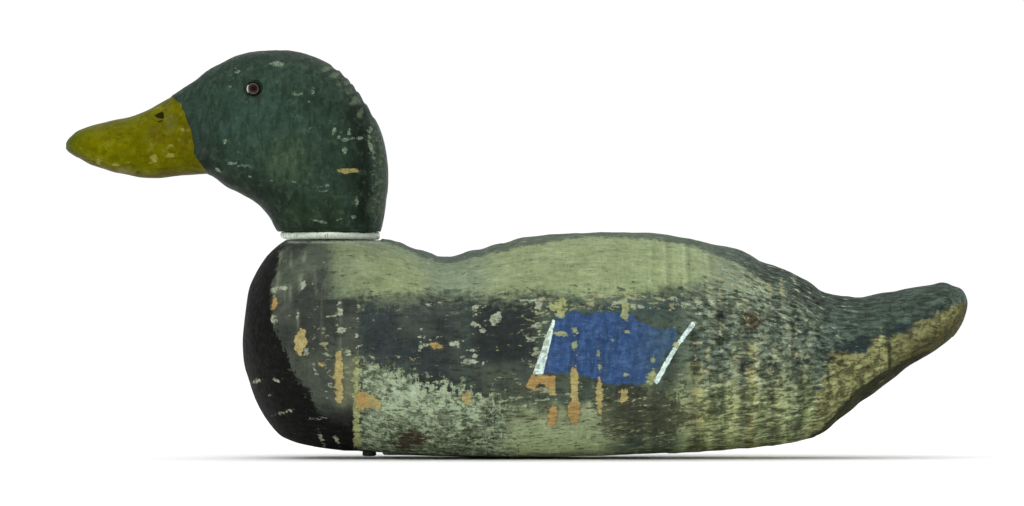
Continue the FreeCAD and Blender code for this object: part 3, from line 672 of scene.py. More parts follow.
    # light olive back
    light = np.tile(np.array([146.0, 160, 117]), (len(q), 1))
    light = blend(light, (128, 141, 106), 1 - smooth(340, 400, x + 14 * nA))
    light = blend(light, (130, 146, 120), smooth(415, 440, x) * (1 - smooth(470, 505, x)) * 0.8)
    light = blend(light, (154, 170, 124), smooth(600, 650, x) * (1 - smooth(690, 720, x)) * 0.8)
    light = blend(light, (130, 143, 116), smooth(690, 730, x))
    light = blend(light, (122, 138, 114), smooth(24, 6, y - top) * smooth(352, 372, x) * (1 - smooth(420, 450, x)) * 0.6)
    light = blend(light, (118, 132, 104), np.exp(-(((x - 442) / 26.0) ** 2 + ((y - 262) / 9.0) ** 2)) * 0.5)
    # painted highlights on four lathe ridges of the back, each with a painted shade line just behind it
    for at, amount in ((664.5, 0.6), (684.5, 0.8), (707.0, 0.7), (650.0, 0.3)):
        near = (x + 1.2 * nB - at - 0.05 * (y - 260)) * (1 + 0 * y)
        light = blend(light, (176, 190, 146), np.exp(-((near / 1.8) ** 2)) * amount)
        light = blend(light, (118, 130, 98), np.exp(-(((near - 4.2) / 2.2) ** 2)) * amount * 0.7)
    light += (nA * 9 + nB * 7 + nV * 4)[:, None]

    # breast in front of the chest line
    grey = x < 357
    front = np.tile(np.array([74.0, 80, 70]), (len(q), 1))
    front = blend(front, (84, 94, 80), smooth(312, 262, y) * smooth(0.5, -0.3, nA) * 0.8)
    front = blend(front, (52, 56, 52), smooth(0.0, 0.4, nA + 0.4 * nB) * 0.7)
    front = blend(front, (122, 127, 100), smooth(328, 346, x) * smooth(340, 370, y) * smooth(420, 400, y) * 0.7)
    front = blend(front, (36, 38, 35), smooth(398, 420, y + 8 * nB) * 0.9)
    # runs of pale paint down the breast, soft-edged
    for x0, y0, x1, y1, width, amount in ((281.5, 249, 276, 294, 1.7, 0.62), (291.5, 253, 289.5, 304, 1.4, 0.55), (305.5, 251, 299, 292, 1.9, 0.55),
                                          (298.5, 310, 298, 330, 1.3, 0.5), (285.5, 284, 284, 306, 1.2, 0.4), (315, 262, 316, 296, 1.3, 0.25),
                                          (341, 286, 340, 352, 1.5, 0.35), (322, 300, 321, 345, 1.4, 0.2)):
        t = np.clip((y - y0) / (y1 - y0), 0, 1)
        off = x + 1.3 * nB - (x0 + (x1 - x0) * t)
        run = np.exp(-((off / width) ** 2)) * smooth(y0 - 4, y0 + 4, y) * smooth(y1 + 4, y1 - 4, y)
        front = blend(front, (150, 156, 130), run * amount * smooth(-0.7, 0.1, nA + nB))
    front = blend(front, (126, 132, 110), np.exp(-(((x - 278) / 7.0) ** 2 + ((y - 289) / 5.0) ** 2)) * 0.6)
    front = blend(front, (104, 112, 94), np.exp(-(((x - 300) / 9.0) ** 2 + ((y - 268) / 16.0) ** 2)) * 0.4)
    put_colour(ob, "base_front", front)
    put_colour(ob, "base_back", light)
    put_colour(ob, "base_tail", gold)
    # grime on the shelf, and the worn sole
    on_shelf = (Z > SHELF_Z - 0.3) & (X > -121) & (X < -64)
    sole = smooth(449.5, 452.5, y_true + 1.2 * nB) * smooth(300, 330, x) * (1 - smooth(790, 815, x))
    col = blend(col, (100, 104, 82), sole * 0.6)
    col = blend(col, (66, 66, 54), sole * smooth(0.0, 0.5, nB + 0.4 * nH) * 0.6)
    put_colour(ob, "base", col)

    # edges of the paint, as signed distances: positive inside
    edge = np.interp(x, [300, 330, 400, 440, 486, 540, 590, 620, 660, 690, 720, 760, 790],
                     [299, 297, 296, 292, 296, 293, 298, 297, 290, 287, 279, 272, 262])
    put(ob, "d_back", np.minimum(np.minimum((edge - y) * 0.9, (x - 318 - 0.3 * (y - 245)) * 0.5), (792 - x) * 0.20))
    put(ob, "d_front_pale", np.minimum(np.minimum(y - np.interp(x, [356, 372, 400, 430, 460, 490, 520], [352, 366, 372, 386, 384, 396, 408]), x - 356),
                                       (505 - x) * 0.4))
    put(ob, "d_chest", np.minimum(357.2 - x, (y - 299) * 0.8))
    put(ob, "d_shoulder", np.minimum((330 - x) * 0.35, 40))
    put(ob, "d_black", inside_of([(200, 225), (281, 236), (283, 246), (274.5, 272), (271, 300), (273.5, 325), (285, 350), (293, 375),
                                  (309, 392), (318, 412), (333, 421), (357, 424), (357, 475), (200, 475)], x, y))
    put(ob, "d_patch", inside_of([(602, 392), (640, 384), (676, 396), (692, 420), (668, 438), (612, 436), (598, 416)], x, y))
    edge_t = np.interp(x, [815, 840, 866, 869, 872, 884, 897, 920, 940, 957, 970], [352, 350, 354, 339, 337, 337, 334, 319, 311, 303, 300])
    tooth = 4.0 * (np.abs(((x / 7.5) % 1) - 0.5) * 2 - 0.5)
    put(ob, "d_tail_top", np.minimum(edge_t - y - tooth, (x - 838) * 0.12))
    put(ob, "d_tail_low", np.minimum(y - edge_t + tooth, (x - 824 + 0.25 * (y - 380)) * 0.5))
    # a band along the sawn slope under the tail, painted near-black: painted shade of the down-facing cut
    saw = np.interp(x, [806, 816, 832, 850, 880, 905, 928], [0.5, 3.0, 7.0, 14.0, 14.5, 9.5, 2.5])
    put(ob, "d_sawn_shade", np.minimum(saw - (belly_line - y), np.minimum((x - 806) * 0.4, (930 - x) * 0.5)))
    thick = np.interp(x, [300, 380, 420, 470, 540, 580, 640, 670, 700, 760, 800, 830], [0, 3, 6, 8, 9, 4.5, 6, 7, 8, 18, 26, 30])
    put(ob, "d_ridge_line", np.minimum(thick - (y_true - top), np.minimum((x - 378) * 0.5, (870 - x) * 0.3)))
    heart = np.exp(-(((x - 412) / 38.0) ** 2 + ((y - 392) / 22.0) ** 2)) - 0.45 * smooth(418, 436, y) * smooth(366, 384, x) * (1 - smooth(470, 490, x))
    put(ob, "heart", heart + 0.25 * nB)
    put(ob, "navy", smooth(-3.0, 3.0, spots_of([(846, 347, 15, 5.5), (864, 342, 7, 7), (903, 328, 11, 6), (889, 334, 6, 4), (926, 316, 6, 3)], x, y) + 5 * nB))
    put(ob, "d_stain", spots_of([(413, 438, 13, 9), (404, 445, 9, 5)], x, y))
    wood = np.full(len(q), -60.0)
    for poly in WOOD:
        wood = np.maximum(wood, inside_of(poly, x, y))
    ochre = np.full(len(q), -60.0)
    for poly in OCHRE:
        ochre = np.maximum(ochre, inside_of(poly, x, y))
    ochre = np.maximum(ochre, spots_of(OCHRE_SPOTS, x, y))
    on_left = np.where(right, -0.8, 0.0)
    put(ob, "wood", wood + on_left)
    put(ob, "warm", spots_of([(540, 380, 18, 9), (574, 414, 9, 13), (552, 415, 7, 12), (433, 345, 4, 3), (273, 305, 4, 8), (362, 400, 6, 8)], x, y))
    put(ob, "ochre", ochre + on_left)
    put(ob, "pale_spot", spots_of(PALE_SPOTS, np.where(right, x + 9, x), np.where(right, y - 6, y)))
    flank = np.abs(Y) > 18
    put(ob, "blue", np.where(flank, inside_of(SPECULUM, x, y), -60))
    put(ob, "bar", np.where(flank, np.maximum(inside_of(BAR_FRONT, x, y), inside_of(BAR_REAR, x, y)), -60))
    rim = np.exp(-(((y - 242.0 + 0.6 * nB) / 1.0) ** 2)) * smooth(286, 290, x) * (1 - smooth(376, 382, x)) * (Z < SHELF_Z - 0.25)
    put(ob, "rim", rim * smooth(-0.4, 0.2, nV))

    # how much pale and dark fleck there is
    c2 = smooth(0.45, 1.0, crest)
    c3 = smooth(0.4, 1.0, half_crest)
    reach = smooth(352, 372, y) * smooth(355, 357, x) * (1 - smooth(480, 510, x))
    pale = 0.16 + 0 * x
    pale = np.maximum(pale, 0.80 * rear * (0.45 + 0.55 * c3 * (1 - 0.7 * smooth(785, 812, x))) * smooth(250, 285, y) * (1 - 0.35 * smooth(790, 830, x)))
    pale = np.maximum(pale, 0.72 * smooth(522, 532, x) * (1 - smooth(548, 556, x)) * smooth(290, 300, y) * smooth(410, 396, y))
    pale = np.maximum(pale, 0.70 * smooth(552, 575, x) * (1 - smooth(700, 715, x)) * smooth(288, 296, y) * smooth(318, 306, y))
    pale = np.maximum(pale, 0.62 * smooth(470, 490, x) * smooth(362, 380, y) * smooth(418, 402, y) * (1 - smooth(690, 700, x)) * (0.35 + 0.65 * c3))
    pale = np.maximum(pale, 0.36 * reach * (0.6 + 0.4 * c2))
    pale = np.maximum(pale, 0.50 * belly)
    pale = np.maximum(pale, 0.34 * slate * (0.3 + 0.7 * c2))
    pale = np.maximum(pale, 0.45 * smooth(395, 440, y) * mid)
    pale = np.maximum(pale, 0.30 * smooth(330, 350, x) * smooth(297, 285, y) * (1 - rear))
    tail_top = smooth(838, 862, x) * (y < edge_t)
    pale = pale * (1 - 0.75 * tail_top)
    pale = pale * (1 - 0.8 * smooth(820, 845, x) * (y > edge_t)) * (1 - 0.9 * smooth(22, 12, belly_line - y) * smooth(805, 820, x))
    pale = np.where(grey, (0.14 + 0.34 * smooth(300, 335, x) * smooth(300, 330, y)) * smooth(262, 285, x) * smooth(408, 385, y), pale)
    put(ob, "pale", np.clip(pale + 0.10 * nA, 0, 1))
    dim = 0.20 + 0.42 * rear * (1 - smooth(296, 282, y) * (1 - smooth(712, 776, x))) + 0.16 * reach + 0.12 * belly + 0.30 * smooth(-26, 0, y - edge) + 0.14 * low_rear
    dim = np.where(grey, 0.25, dim)
    put(ob, "dim", np.clip(dim + 0.1 * nB, 0, 1))
    tail_low = smooth(826, 846, x) * (y >= edge_t)
    high = smooth(296, 282, y)
    begins = smooth(665, 720, x) * (1 - high) + smooth(706, 776, x) * high
    put(ob, "torn", np.clip(0.14 + 0.86 * begins * (1 - 0.55 * tail_top) * (1 - 0.60 * tail_low) * (1 - 0.38 * low_rear), 0, 1))
    put(ob, "shelf", np.where(on_shelf, 1.0, 0.0))
    # the soft light falls off under the turn of the hull; the paint is mixed lighter there to make up for it.
    # The last two factors are plain colour: the tail tip and the root of the tail are painted paler.
    put(ob, "lift", np.interp(y_true, [330, 372, 396, 420, 436, 446, 452, 457], [1.0, 1.05, 1.13, 1.25, 1.45, 1.80, 2.0, 1.4]) * (1 + 0.26 * smooth(948, 962, x)) * (1 + 0.28 * np.exp(-(((x - 850) / 20.0) ** 2 + ((y - 319) / 15.0) ** 2))))


# ---------------------------------------------------------------------------
# Head
# ---------------------------------------------------------------------------
FAN_AT = (-148.9, 107.8)
FAN = [  # angle, near radius, far radius, half breadth
    (0, 34.9, 84.0, 22.5), (6, 33.1, 86.3, 22.8), (12, 32.0, 89.1, 23.2), (18, 30.5, 92.1, 23.6),
    (24, 29.3, 94.8, 24.2), (30, 28.0, 96.8, 24.8), (36, 26.7, 98.0, 25.3), (42, 25.4, 99.1, 25.7),
    (48, 24.8, 100.0, 25.9), (54, 24.3, 99.7, 25.8), (60, 23.9, 97.9, 25.4), (66, 24.0, 94.9, 24.3),
    (72, 24.7, 90.9, 23.1), (78, 25.8, 86.9, 21.5), (84, 26.9, 81.3, 20.0), (90, 27.2, 76.0, 18.4),
]
BILL = [  # station, low, top, half breadth
    (-152.2, 134.7, 181.1, 17.4), (-158.0, 134.3, 177.4, 16.2), (-163.7, 133.7, 173.6, 15.3), (-169.5, 133.0, 170.1, 14.8),
    (-175.2, 132.9, 166.9, 14.7), (-180.9, 133.4, 164.4, 14.8), (-186.7, 134.7, 162.6, 15.2), (-192.4, 135.8, 161.5, 15.5),
    (-198.1, 137.7, 160.2, 15.2), (-203.9, 139.6, 158.7, 14.2), (-207.7, 141.8, 157.3, 12.8), (-210.6, 143.4, 156.0, 11.2),
    (-213.2, 145.0, 153.7, 8.5), (-214.7, 146.3, 151.7, 5.2), (-215.3, 147.3, 150.1, 2.2),
]
EYE = {"left": Vector((-125.4, -20.9, 175.6)), "right": Vector((-125.4, 20.9, 175.6))}
LOOK = {"left": Vector((0.097, -0.955, 0.279)).normalized(), "right": Vector((0.097, 0.955, 0.279)).normalized()}
FACE_EDGE = [(174.3, 98), (180.5, 103.4), (185, 114), (189, 125), (192, 134), (194, 146.5), (193.5, 154), (200.5, 163.4),
             (208, 173.4), (214, 182)]
BILL_AREA = [(20, 60), (150, 60), (168, 92)] + FACE_EDGE + [(200, 210), (20, 210)]
NOSTRIL = [(153.5, 115.6), (162, 111.5), (163.2, 113), (163.4, 119.2), (158, 118.0)]
HEAD_PALE = [(277, 64, 6, 2.3), (237, 71.5, 4.5, 1.5, -30), (236, 69, 1.4, 1), (341.5, 132, 2.2, 1.6), (349, 132, 1.9, 2.9),
             (344, 140, 2.6, 1.6), (345, 150, 2.2, 3.4, 10), (339, 137, 1.6, 1.5), (352, 138, 1.4, 1.6), (334, 132, 1, 3, 20),
             (370.5, 129, 2.0, 5.5, 10), (370, 144, 2.2, 8, -8), (373.5, 158, 1.6, 6, -8), (359, 138, 2.5, 1.6),
             (217.5, 169, 2.2, 1.2, 25), (224.5, 82.5, 1, 1.2), (231, 86, 1, 0.8), (245.6, 102.3, 1.3, 1), (229, 102, 0.8, 1.2),
             (251, 176, 1.8, 1), (271, 181, 1.6, 0.9), (262, 180.5, 1.4, 0.8), (314, 92.5, 1.2, 1.4), (309, 101, 1.2, 1.0),
             (315, 128, 3, 1), (330, 119, 1.6, 0.7), (296, 182, 3, 1.2), (324, 186, 4, 0.8), (323, 191, 3, 0.8), (232, 164, 3, 1.2),
             (245, 166, 3.4, 1), (297, 94, 5, 1.3), (238, 153, 2, 1), (225, 142, 1.3, 2), (314, 84, 0.8, 4), (209, 118, 1, 0.7),
             (322, 222, 7, 1, 12), (337, 221, 4, 1, -25), (353, 217, 3, 1.6), (357, 200, 1.2, 3)]


NOTCHES = [(327.0, 68.5, 9.0, 2.6), (336.0, 75.5, 7.5, 3.4), (344.5, 83.0, 8.0, 3.0), (350.5, 90.5, 6.5, 3.6), (355.0, 101.0, 5.5, 4.8),
           (361.5, 113.5, 3.6, 6.0)]


def notches(x, y):
    """Rasp notches across the back of the crown: depth 0 to 1, a painted highlight on the cut face of each notch, and
    the painted shade of its lip.
    """
    depth, light, shade = 0 * x, 0 * x, 0 * x
    p = np.stack([x / 5.0, y / 5.0, np.zeros_like(x)], -1)
    x = x + 2.6 * value_noise(p, 411)
    y = y + 1.3 * value_noise(p * 0.8, 413)
    for cx, cy, rx, ry in NOTCHES:
        t = (y + 0.20 * (x - cx) - cy) / ry
        along_cut = smooth(cx - rx, cx - rx * 0.4, x)
        depth = np.maximum(depth, along_cut * smooth(-1.15, 0.55, t) * smooth(1.25, 0.75, t))
        light = np.maximum(light, smooth(1.0, 0.55, np.hypot((x - cx) / rx, t * 0.95)))
        shade = np.maximum(shade, smooth(1.0, 0.4, np.hypot((x - cx - 1.05 * rx) / 4.4, (t - 0.3) * 0.9)))
        shade = np.maximum(shade, 0.7 * along_cut * smooth(0.85, 1.05, t) * smooth(1.75, 1.3, t) * smooth(cx + rx + 6, cx + rx, x))
    return depth, light, shade


def head_grid(nu, nv):
    near, far, half = [], [], []
    for ang, rn, rf, b in FAN:
        a = math.radians(ang)
        near.append((FAN_AT[0] + rn * math.cos(a), FAN_AT[1] + rn * math.sin(a)))
        far.append((FAN_AT[0] + rf * math.cos(a), FAN_AT[1] + rf * math.sin(a)))
        half.append(b)
    for x, lo, hi, b in BILL:
        near.append((x, lo))
        far.append((x, hi))
        half.append(b)
    near, far, half = np.array(near), np.array(far), np.array(half)
    mid = (near + far) / 2
    t = np.concatenate([[0], np.cumsum(np.hypot(*np.diff(mid, axis=0).T))])
    # closer rows at the tip of the bill
    u = np.linspace(0, 1, nu)
    u = t[-1] * (1 - (1 - u) ** 1.25)
    nx, nz = spline(t, near[:, 0], u), spline(t, near[:, 1], u)
    fx, fz = spline(t, far[:, 0], u), spline(t, far[:, 1], u)
    hb = monotone(t, half, u)
    cx, cz, ax, az = (nx + fx) / 2, (nz + fz) / 2, (fx - nx) / 2, (fz - nz) / 2
    t_face = t[len(FAN) - 1]
    on_bill = smooth(t_face + 4, t_face + 26, u)
    phi = np.linspace(0, 2 * math.pi, nv, endpoint=False)
    c, s = np.cos(phi)[None], np.sin(phi)[None]
    n = (2.45 - 0.15 * on_bill)[:, None]
    rr = np.sign(c) * np.abs(c) ** (2 / n)
    # slightly fuller cheeks, narrower crown; the bill is broad below and keeled on top
    yy = -hb[:, None] * np.sign(s) * np.abs(s) ** (2 / n) * (0.985 - 0.10 * on_bill[:, None] * rr)
    p = np.stack([cx[:, None] + ax[:, None] * rr, yy, cz[:, None] + az[:, None] * rr], -1)
    return p, rr, on_bill


def build_head():
    nu, nv = 330, 208
    p, rr, on_bill = head_grid(nu, nv)
    nrm = grid_normals(p)
    flat = p.reshape(-1, 3)
    x, y = seen_from_side(flat)
    d = 0.30 * fbm(flat / 16.0, 103, 2)
    # knife facets
    cell = value_noise(flat / np.array([9.0, 9.0, 13.0]), 105)
    d += 0.16 * np.abs(cell) * (x > 205)
    d += 0.07 * value_noise(flat * np.array([0.55, 0.12, 0.12]), 106) * (x > 205)
    # back of the neck: a knife-cut bevel with rasp notches high up
    back = smooth(0.72, 0.96, rr.reshape(-1)) * smooth(300, 330, x)
    d -= notches(x, y)[0] * smooth(0.30, 0.70, rr.reshape(-1)) * 0.55
    d -= 0.25 * np.exp(-(((rr.reshape(-1) - 0.74) / 0.035) ** 2)) * smooth(322, 345, x) * smooth(90, 120, y) * smooth(215, 190, y)
    # the paint line at the face is cut in lightly; nostril and the slit below it
    face = inside_of(BILL_AREA, x, y)
    d -= 0.35 * smooth(-0.6, 1.6, face)
    d -= 1.3 * smooth(-0.6, 1.6, inside_of(NOSTRIL, x, y)) * (np.abs(flat[:, 1]) > 3)
    d -= 0.5 * smooth(-0.4, 0.5, spots_of([(160.4, 121.2, 2.6, 0.8)], x, y)) * (np.abs(flat[:, 1]) > 3)
    d += 0.12 * fbm(flat / np.array([5.0, 5.0, 5.0]), 107, 2) * smooth(-2, 4, face)
    # nail of the bill, and the line between its halves near the tip
    d -= 0.25 * np.exp(-(((y - (158.5 + 0.22 * (x - 80) * (x > 80))) / 1.0) ** 2)) * smooth(74, 82, x) * smooth(150, 128, x)
    d = d.reshape(nu, nv)
    ends = smooth(0, 1, np.arange(nu) / 3.0) * smooth(nu, nu - 8, np.arange(nu))
    p = p + nrm * (d * ends[:, None])[:, :, None]
    p[0, :, 2] = FAN_AT[1]
    # a closed foot, flat on the collar
    ob = grid_mesh("head_shape", p)
    cutters = [rod("h1", 9.52, (TURN_X, 0, 100), (TURN_X, 0, 148.2), 64)]
    for side in ("left", "right"):
        e, l = EYE[side], LOOK[side]
        cutters.append(rod("h_" + side, 4.55, e - l * 4.2, e + l * 7.0, 64))
    subtract(ob, cutters)
    shade_smooth(ob, 50)
    return ob


def paint_head(ob):
    q = coords(ob)
    X, Y, Z = q[:, 0], q[:, 1], q[:, 2]
    x, y = seen_from_side(q)
    x = x + 0.7 * value_noise(q / 4.0, 161)
    y = y + 0.7 * value_noise(q / 4.0, 162)
    right = Y > 0
    nA, nB = fbm(q / 16.0, 171, 3), fbm(q / 5.0, 172, 3)
    nV = fbm(q / np.array([1.8, 4.0, 14.0]), 173, 3)      # upright brush strokes
    col = np.tile(np.array([46.0, 66, 53]), (len(q), 1))
    col = blend(col, (52, 71, 56), smooth(-0.1, 0.5, nA) * 0.8)
    col = blend(col, (34, 51, 39), smooth(0.0, 0.5, nB + 0.5 * nV) * 0.7)
    # a soft teal patch on the upper cheek: a painted sheen
    teal_sheen = np.exp(-(((x - 255) / 42.0) ** 2 + ((y - 118) / 30.0) ** 2))
    col = blend(col, (56, 82, 72), teal_sheen * 0.75)
    col = blend(col, (46, 70, 66), teal_sheen * smooth(0.0, 0.5, nV) * 0.5)
    mid = np.exp(-(((x - 288) / 26.0) ** 2 + ((y - 160) / 24.0) ** 2))
    col = blend(col, (72, 92, 66), mid * 0.8)
    col = blend(col, (54, 76, 62), np.exp(-(((x - 285) / 30.0) ** 2 + ((y - 80) / 13.0) ** 2)) * 0.7)
    col = blend(col, (44, 64, 54), smooth(222, 200, x) * 0.6)
    # darker lower front of the head: painted shade
    throat_shade = smooth(0, 22, (y - 150) - (x - 215) * 0.42) * smooth(330, 270, x)
    col = blend(col, (31, 44, 31), throat_shade * 0.8)
    neck = smooth(185, 205, y) * smooth(275, 300, x) * (1 - smooth(335, 352, x))
    col = blend(col, (38, 57, 36), neck * 0.8)
    # painted shade in a band down the back of the head, ahead of the bevel
    rear = np.exp(-(((x - (357 + 0.06 * (y - 90))) / 11.0) ** 2)) * smooth(85, 110, y) * smooth(232, 215, y)
    col = blend(col, (22, 34, 24), rear * 0.9)
    # painted highlight along the back edge of the head, where it turns onto the bevel
    edge = smooth(366, 376, x - 0.03 * (y - 150)) * smooth(90, 130, y)
    col = blend(col, (66, 84, 72), edge * 0.65)
    col = blend(col, (70, 84, 62), smooth(0.0, 1.0, spots_of([(374, 207, 9, 13)], x, y) / 3 + nB) * 0.6)
    crown = smooth(68, 52, y) * smooth(235, 250, x) * smooth(330, 318, x)
    col = blend(col, (44, 60, 52), crown * 0.8)
    notch = np.exp(-(((x - 350) / 13.0) ** 2 + ((y - 80) / 18.0) ** 2))
    col = blend(col, (78, 95, 78), notch * smooth(0.0, 0.4, nB) * 0.7)
    brow = np.exp(-(((x - 235) / 22.0) ** 2 + ((y - 78) / 8.0) ** 2))
    col = blend(col, (76, 92, 70), brow * smooth(-0.1, 0.4, nB) * 0.5)
    col = blend(col, (30, 42, 34), np.exp(-(((x - 208) / 13.0) ** 2 + ((y - 157) / 17.0) ** 2)) * smooth(-0.5, 0.2, nB + 0.1) * 0.65)
    col = blend(col, (70, 72, 62), np.exp(-(((x - 206) / 6.0) ** 2 + ((y - 151) / 5.0) ** 2)) * 0.5)
    col += (6 * nV + 4 * nB)[:, None]

    bill = np.tile(np.array([101.0, 101, 0]), (len(q), 1))
    bill = blend(bill, (114, 113, 0), np.exp(-(((x - 112) / 30.0) ** 2 + ((y - 142) / 13.0) ** 2)) * 0.7)
    bill = blend(bill, (88, 90, 2), smooth(12, 2, y - np.interp(x, [66, 78, 102, 126, 150, 174], [143, 130, 122, 117, 108, 94])) * 0.7)
    bill = blend(bill, (76, 88, 0), smooth(88, 68, x) * 0.8)
    bill = blend(bill, (102, 100, 46), np.exp(-(((x - 168.0 + 0.5 * nB) / 2.6) ** 2)) * smooth(98, 106, y) * smooth(140, 124, y) * 0.7)
    bill = blend(bill, (86, 85, 0), smooth(168, 186, x + 3 * nB) * 0.7)
    bill = blend(bill, (92, 82, 22), np.exp(-(((x - 186) / 5.0) ** 2)) * smooth(110, 130, y) * smooth(158, 146, y) * 0.6)
    bill = blend(bill, (98, 98, 52), smooth(0.1, 1, spots_of([(154, 131, 10, 8), (172, 123, 9, 14), (145, 140, 12, 6)], x, y) / 5 + 0.5 * nB) * 0.55)
    low_edge = np.interp(x, [66, 78, 102, 126, 150, 174, 210], [151, 158, 169, 175.4, 179, 177.4, 175])
    bill = blend(bill, (96, 86, 10), smooth(0.0, 0.8, spots_of([(158, 132, 9, 14), (175, 140, 5, 14), (120, 133, 12, 4)], x, y) / 6 + 0.8 * nB) * 0.55)
    # darker along the lower edge of the bill and in a patch low on it: painted shade of the down-facing lower edge
    bill = blend(bill, (70, 62, 8), smooth(6.5, 1.5, low_edge - y + 1.5 * nB) * 0.8)
    bill = blend(bill, (84, 74, 10), np.exp(-(((x - 168) / 14.0) ** 2 + ((y - 170) / 3.5) ** 2)) * 0.7)
    bill = blend(bill, (118, 112, 74), smooth(0, 1, spots_of([(124, 170, 10, 3.6), (133, 172, 7, 2.6)], x, y) / 2 + 0.6 * nB) * 0.75)
    bill += (5 * nB + 3 * nA)[:, None]
    face = inside_of(BILL_AREA, x, y)
    w = smooth(-0.45, 0.45, face)
    put_colour(ob, "base", col)
    put_colour(ob, "bill_base", bill)
    put(ob, "bill", face)
    xs, ys = np.where(right, x + 8, x), np.where(right, y - 6, y)
    # painted highlight on the cut face of each rasp notch, on the sides of the head
    notch_highlight = notches(x, y)[1] * smooth(-0.35, 0.25, nB + 0.5 * nV + 0.1) * smooth(4.0, 11.0, np.abs(Y))
    put(ob, "notch_highlight", notch_highlight)
    crack_and_notch_shadow = np.exp(-(((x - (312 + 0.14 * (y - 70) + 1.2 * nA)) / 0.75) ** 2)) * smooth(62, 70, y) * smooth(112, 100, y)
    crack_and_notch_shadow = np.maximum(crack_and_notch_shadow, np.exp(-(((x - (365 + 2.5 * np.sin(y / 12.0) + 2 * nA)) / 0.8) ** 2)) * smooth(120, 130, y) * smooth(226, 214, y) * 0.8)
    crack_and_notch_shadow = np.maximum(crack_and_notch_shadow, np.exp(-(((y - (229.0 + 0.8 * nA)) / 0.9) ** 2)) * smooth(282, 290, x) * 0.7)
    # painted shadow at the lip of each rasp notch, kept with the real cracks
    crack_and_notch_shadow = np.maximum(crack_and_notch_shadow, notches(x, y)[2] * 0.8)
    put(ob, "crack_and_notch_shadow", crack_and_notch_shadow)
    put(ob, "pale_spot", np.where(w > 0.5, -60, spots_of(HEAD_PALE, xs, ys)))
    put(ob, "bare", spots_of([(348, 170.6, 11, 2.5, -3)], xs, ys))
    put(ob, "worn", spots_of([(98, 162, 3.2, 2.2), (129, 162.6, 3.2, 2), (153, 157, 4.6, 3.6), (150, 163, 2.4, 1.6), (115, 165, 4, 1),
                              (157, 141, 1.2, 1), (182, 129, 1.8, 1.4), (158, 108, 2, 1), (170, 146, 2, 1.5), (172, 156, 3, 2.5)], x, y))
    put(ob, "hole", np.where(np.abs(Y) > 3, np.maximum(inside_of(NOSTRIL, x, y), spots_of([(160.4, 121.2, 2.6, 0.8)], x, y)), -60))
    fleck = 0.20 + 0.5 * smooth(300, 345, x) * smooth(110, 80, y) + 0.75 * smooth(364, 374, x) + 0.35 * mid + 0.45 * brow
    fleck = fleck + 0.30 * np.exp(-(((y - 190) / 6.0) ** 2)) * smooth(300, 320, x) - 0.10 * throat_shade
    put(ob, "pale", np.clip(fleck + 0.15 * nA, 0, 1))
    # distance below an uneven line along the very foot of the neck, stored as the ring attribute; no material reads it
    ring = (y - (231.3 + 1.0 * np.sin(x / 9.0) + 0.8 * nA))
    put(ob, "ring", ring)


# ---------------------------------------------------------------------------
# Collar: white ring at the foot of the neck
# ---------------------------------------------------------------------------
def build_collar():
    nv = 220
    lo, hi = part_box("neck_collar")
    z0, z1 = lo.z * 1000 - 0.09, hi.z * 1000
    phi = np.linspace(0, 2 * math.pi, nv, endpoint=False)
    rows = []
    for part, grow in ((0.0, -12.2), (0.0, -6.0), (0.0, -2.2), (0.0, -0.9), (0.12, -0.25), (0.3, 0.05), (0.5, 0.15), (0.7, 0.1),
                       (0.88, -0.15), (1.0, -0.7), (1.0, -3.0), (1.0, -12.2)):
        a, b = 23.7 + grow, 22.3 + grow
        rows.append(np.stack([TURN_X + a * np.cos(phi), -b * np.sin(phi), np.full(nv, z0 + part * (z1 - z0))], -1))
    p = np.array(rows)
    flat = p.reshape(-1, 3)
    r = np.hypot(flat[:, 0] - TURN_X, flat[:, 1])
    wave = value_noise(flat / 6.0, 201)
    out = smooth(20, 22, r)
    flat[:, 0] += (flat[:, 0] - TURN_X) / r * 0.18 * wave * out
    flat[:, 1] += flat[:, 1] / r * 0.18 * wave * out
    # the front end has lifted a little
    lift = smooth(TURN_X - 19.5, TURN_X - 23.8, flat[:, 0])
    flat[:, 2] += np.where(flat[:, 2] < z0 + 1.5, 0.9 * lift, 0.0)
    # the underside is uneven but stays off the shelf
    p = flat.reshape(p.shape)
    ob = grid_mesh("collar_shape", p, False, False)
    # join the inner edges into a bore round the dowel
    me = ob.data
    bm = bmesh.new()
    bm.from_mesh(me)
    edges = [e for e in bm.edges if e.is_boundary]
    bmesh.ops.bridge_loops(bm, edges=edges)
    bmesh.ops.recalc_face_normals(bm, faces=bm.faces)
    bm.to_mesh(me)
    bm.free()
    sub = ob.modifiers.new("fine", "SUBSURF")
    sub.levels = sub.render_levels = 1
    dg = bpy.context.evaluated_depsgraph_get()
    ob.data = bpy.data.meshes.new_from_object(ob.evaluated_get(dg))
    ob.modifiers.clear()
    shade_smooth(ob, 45)
    return ob


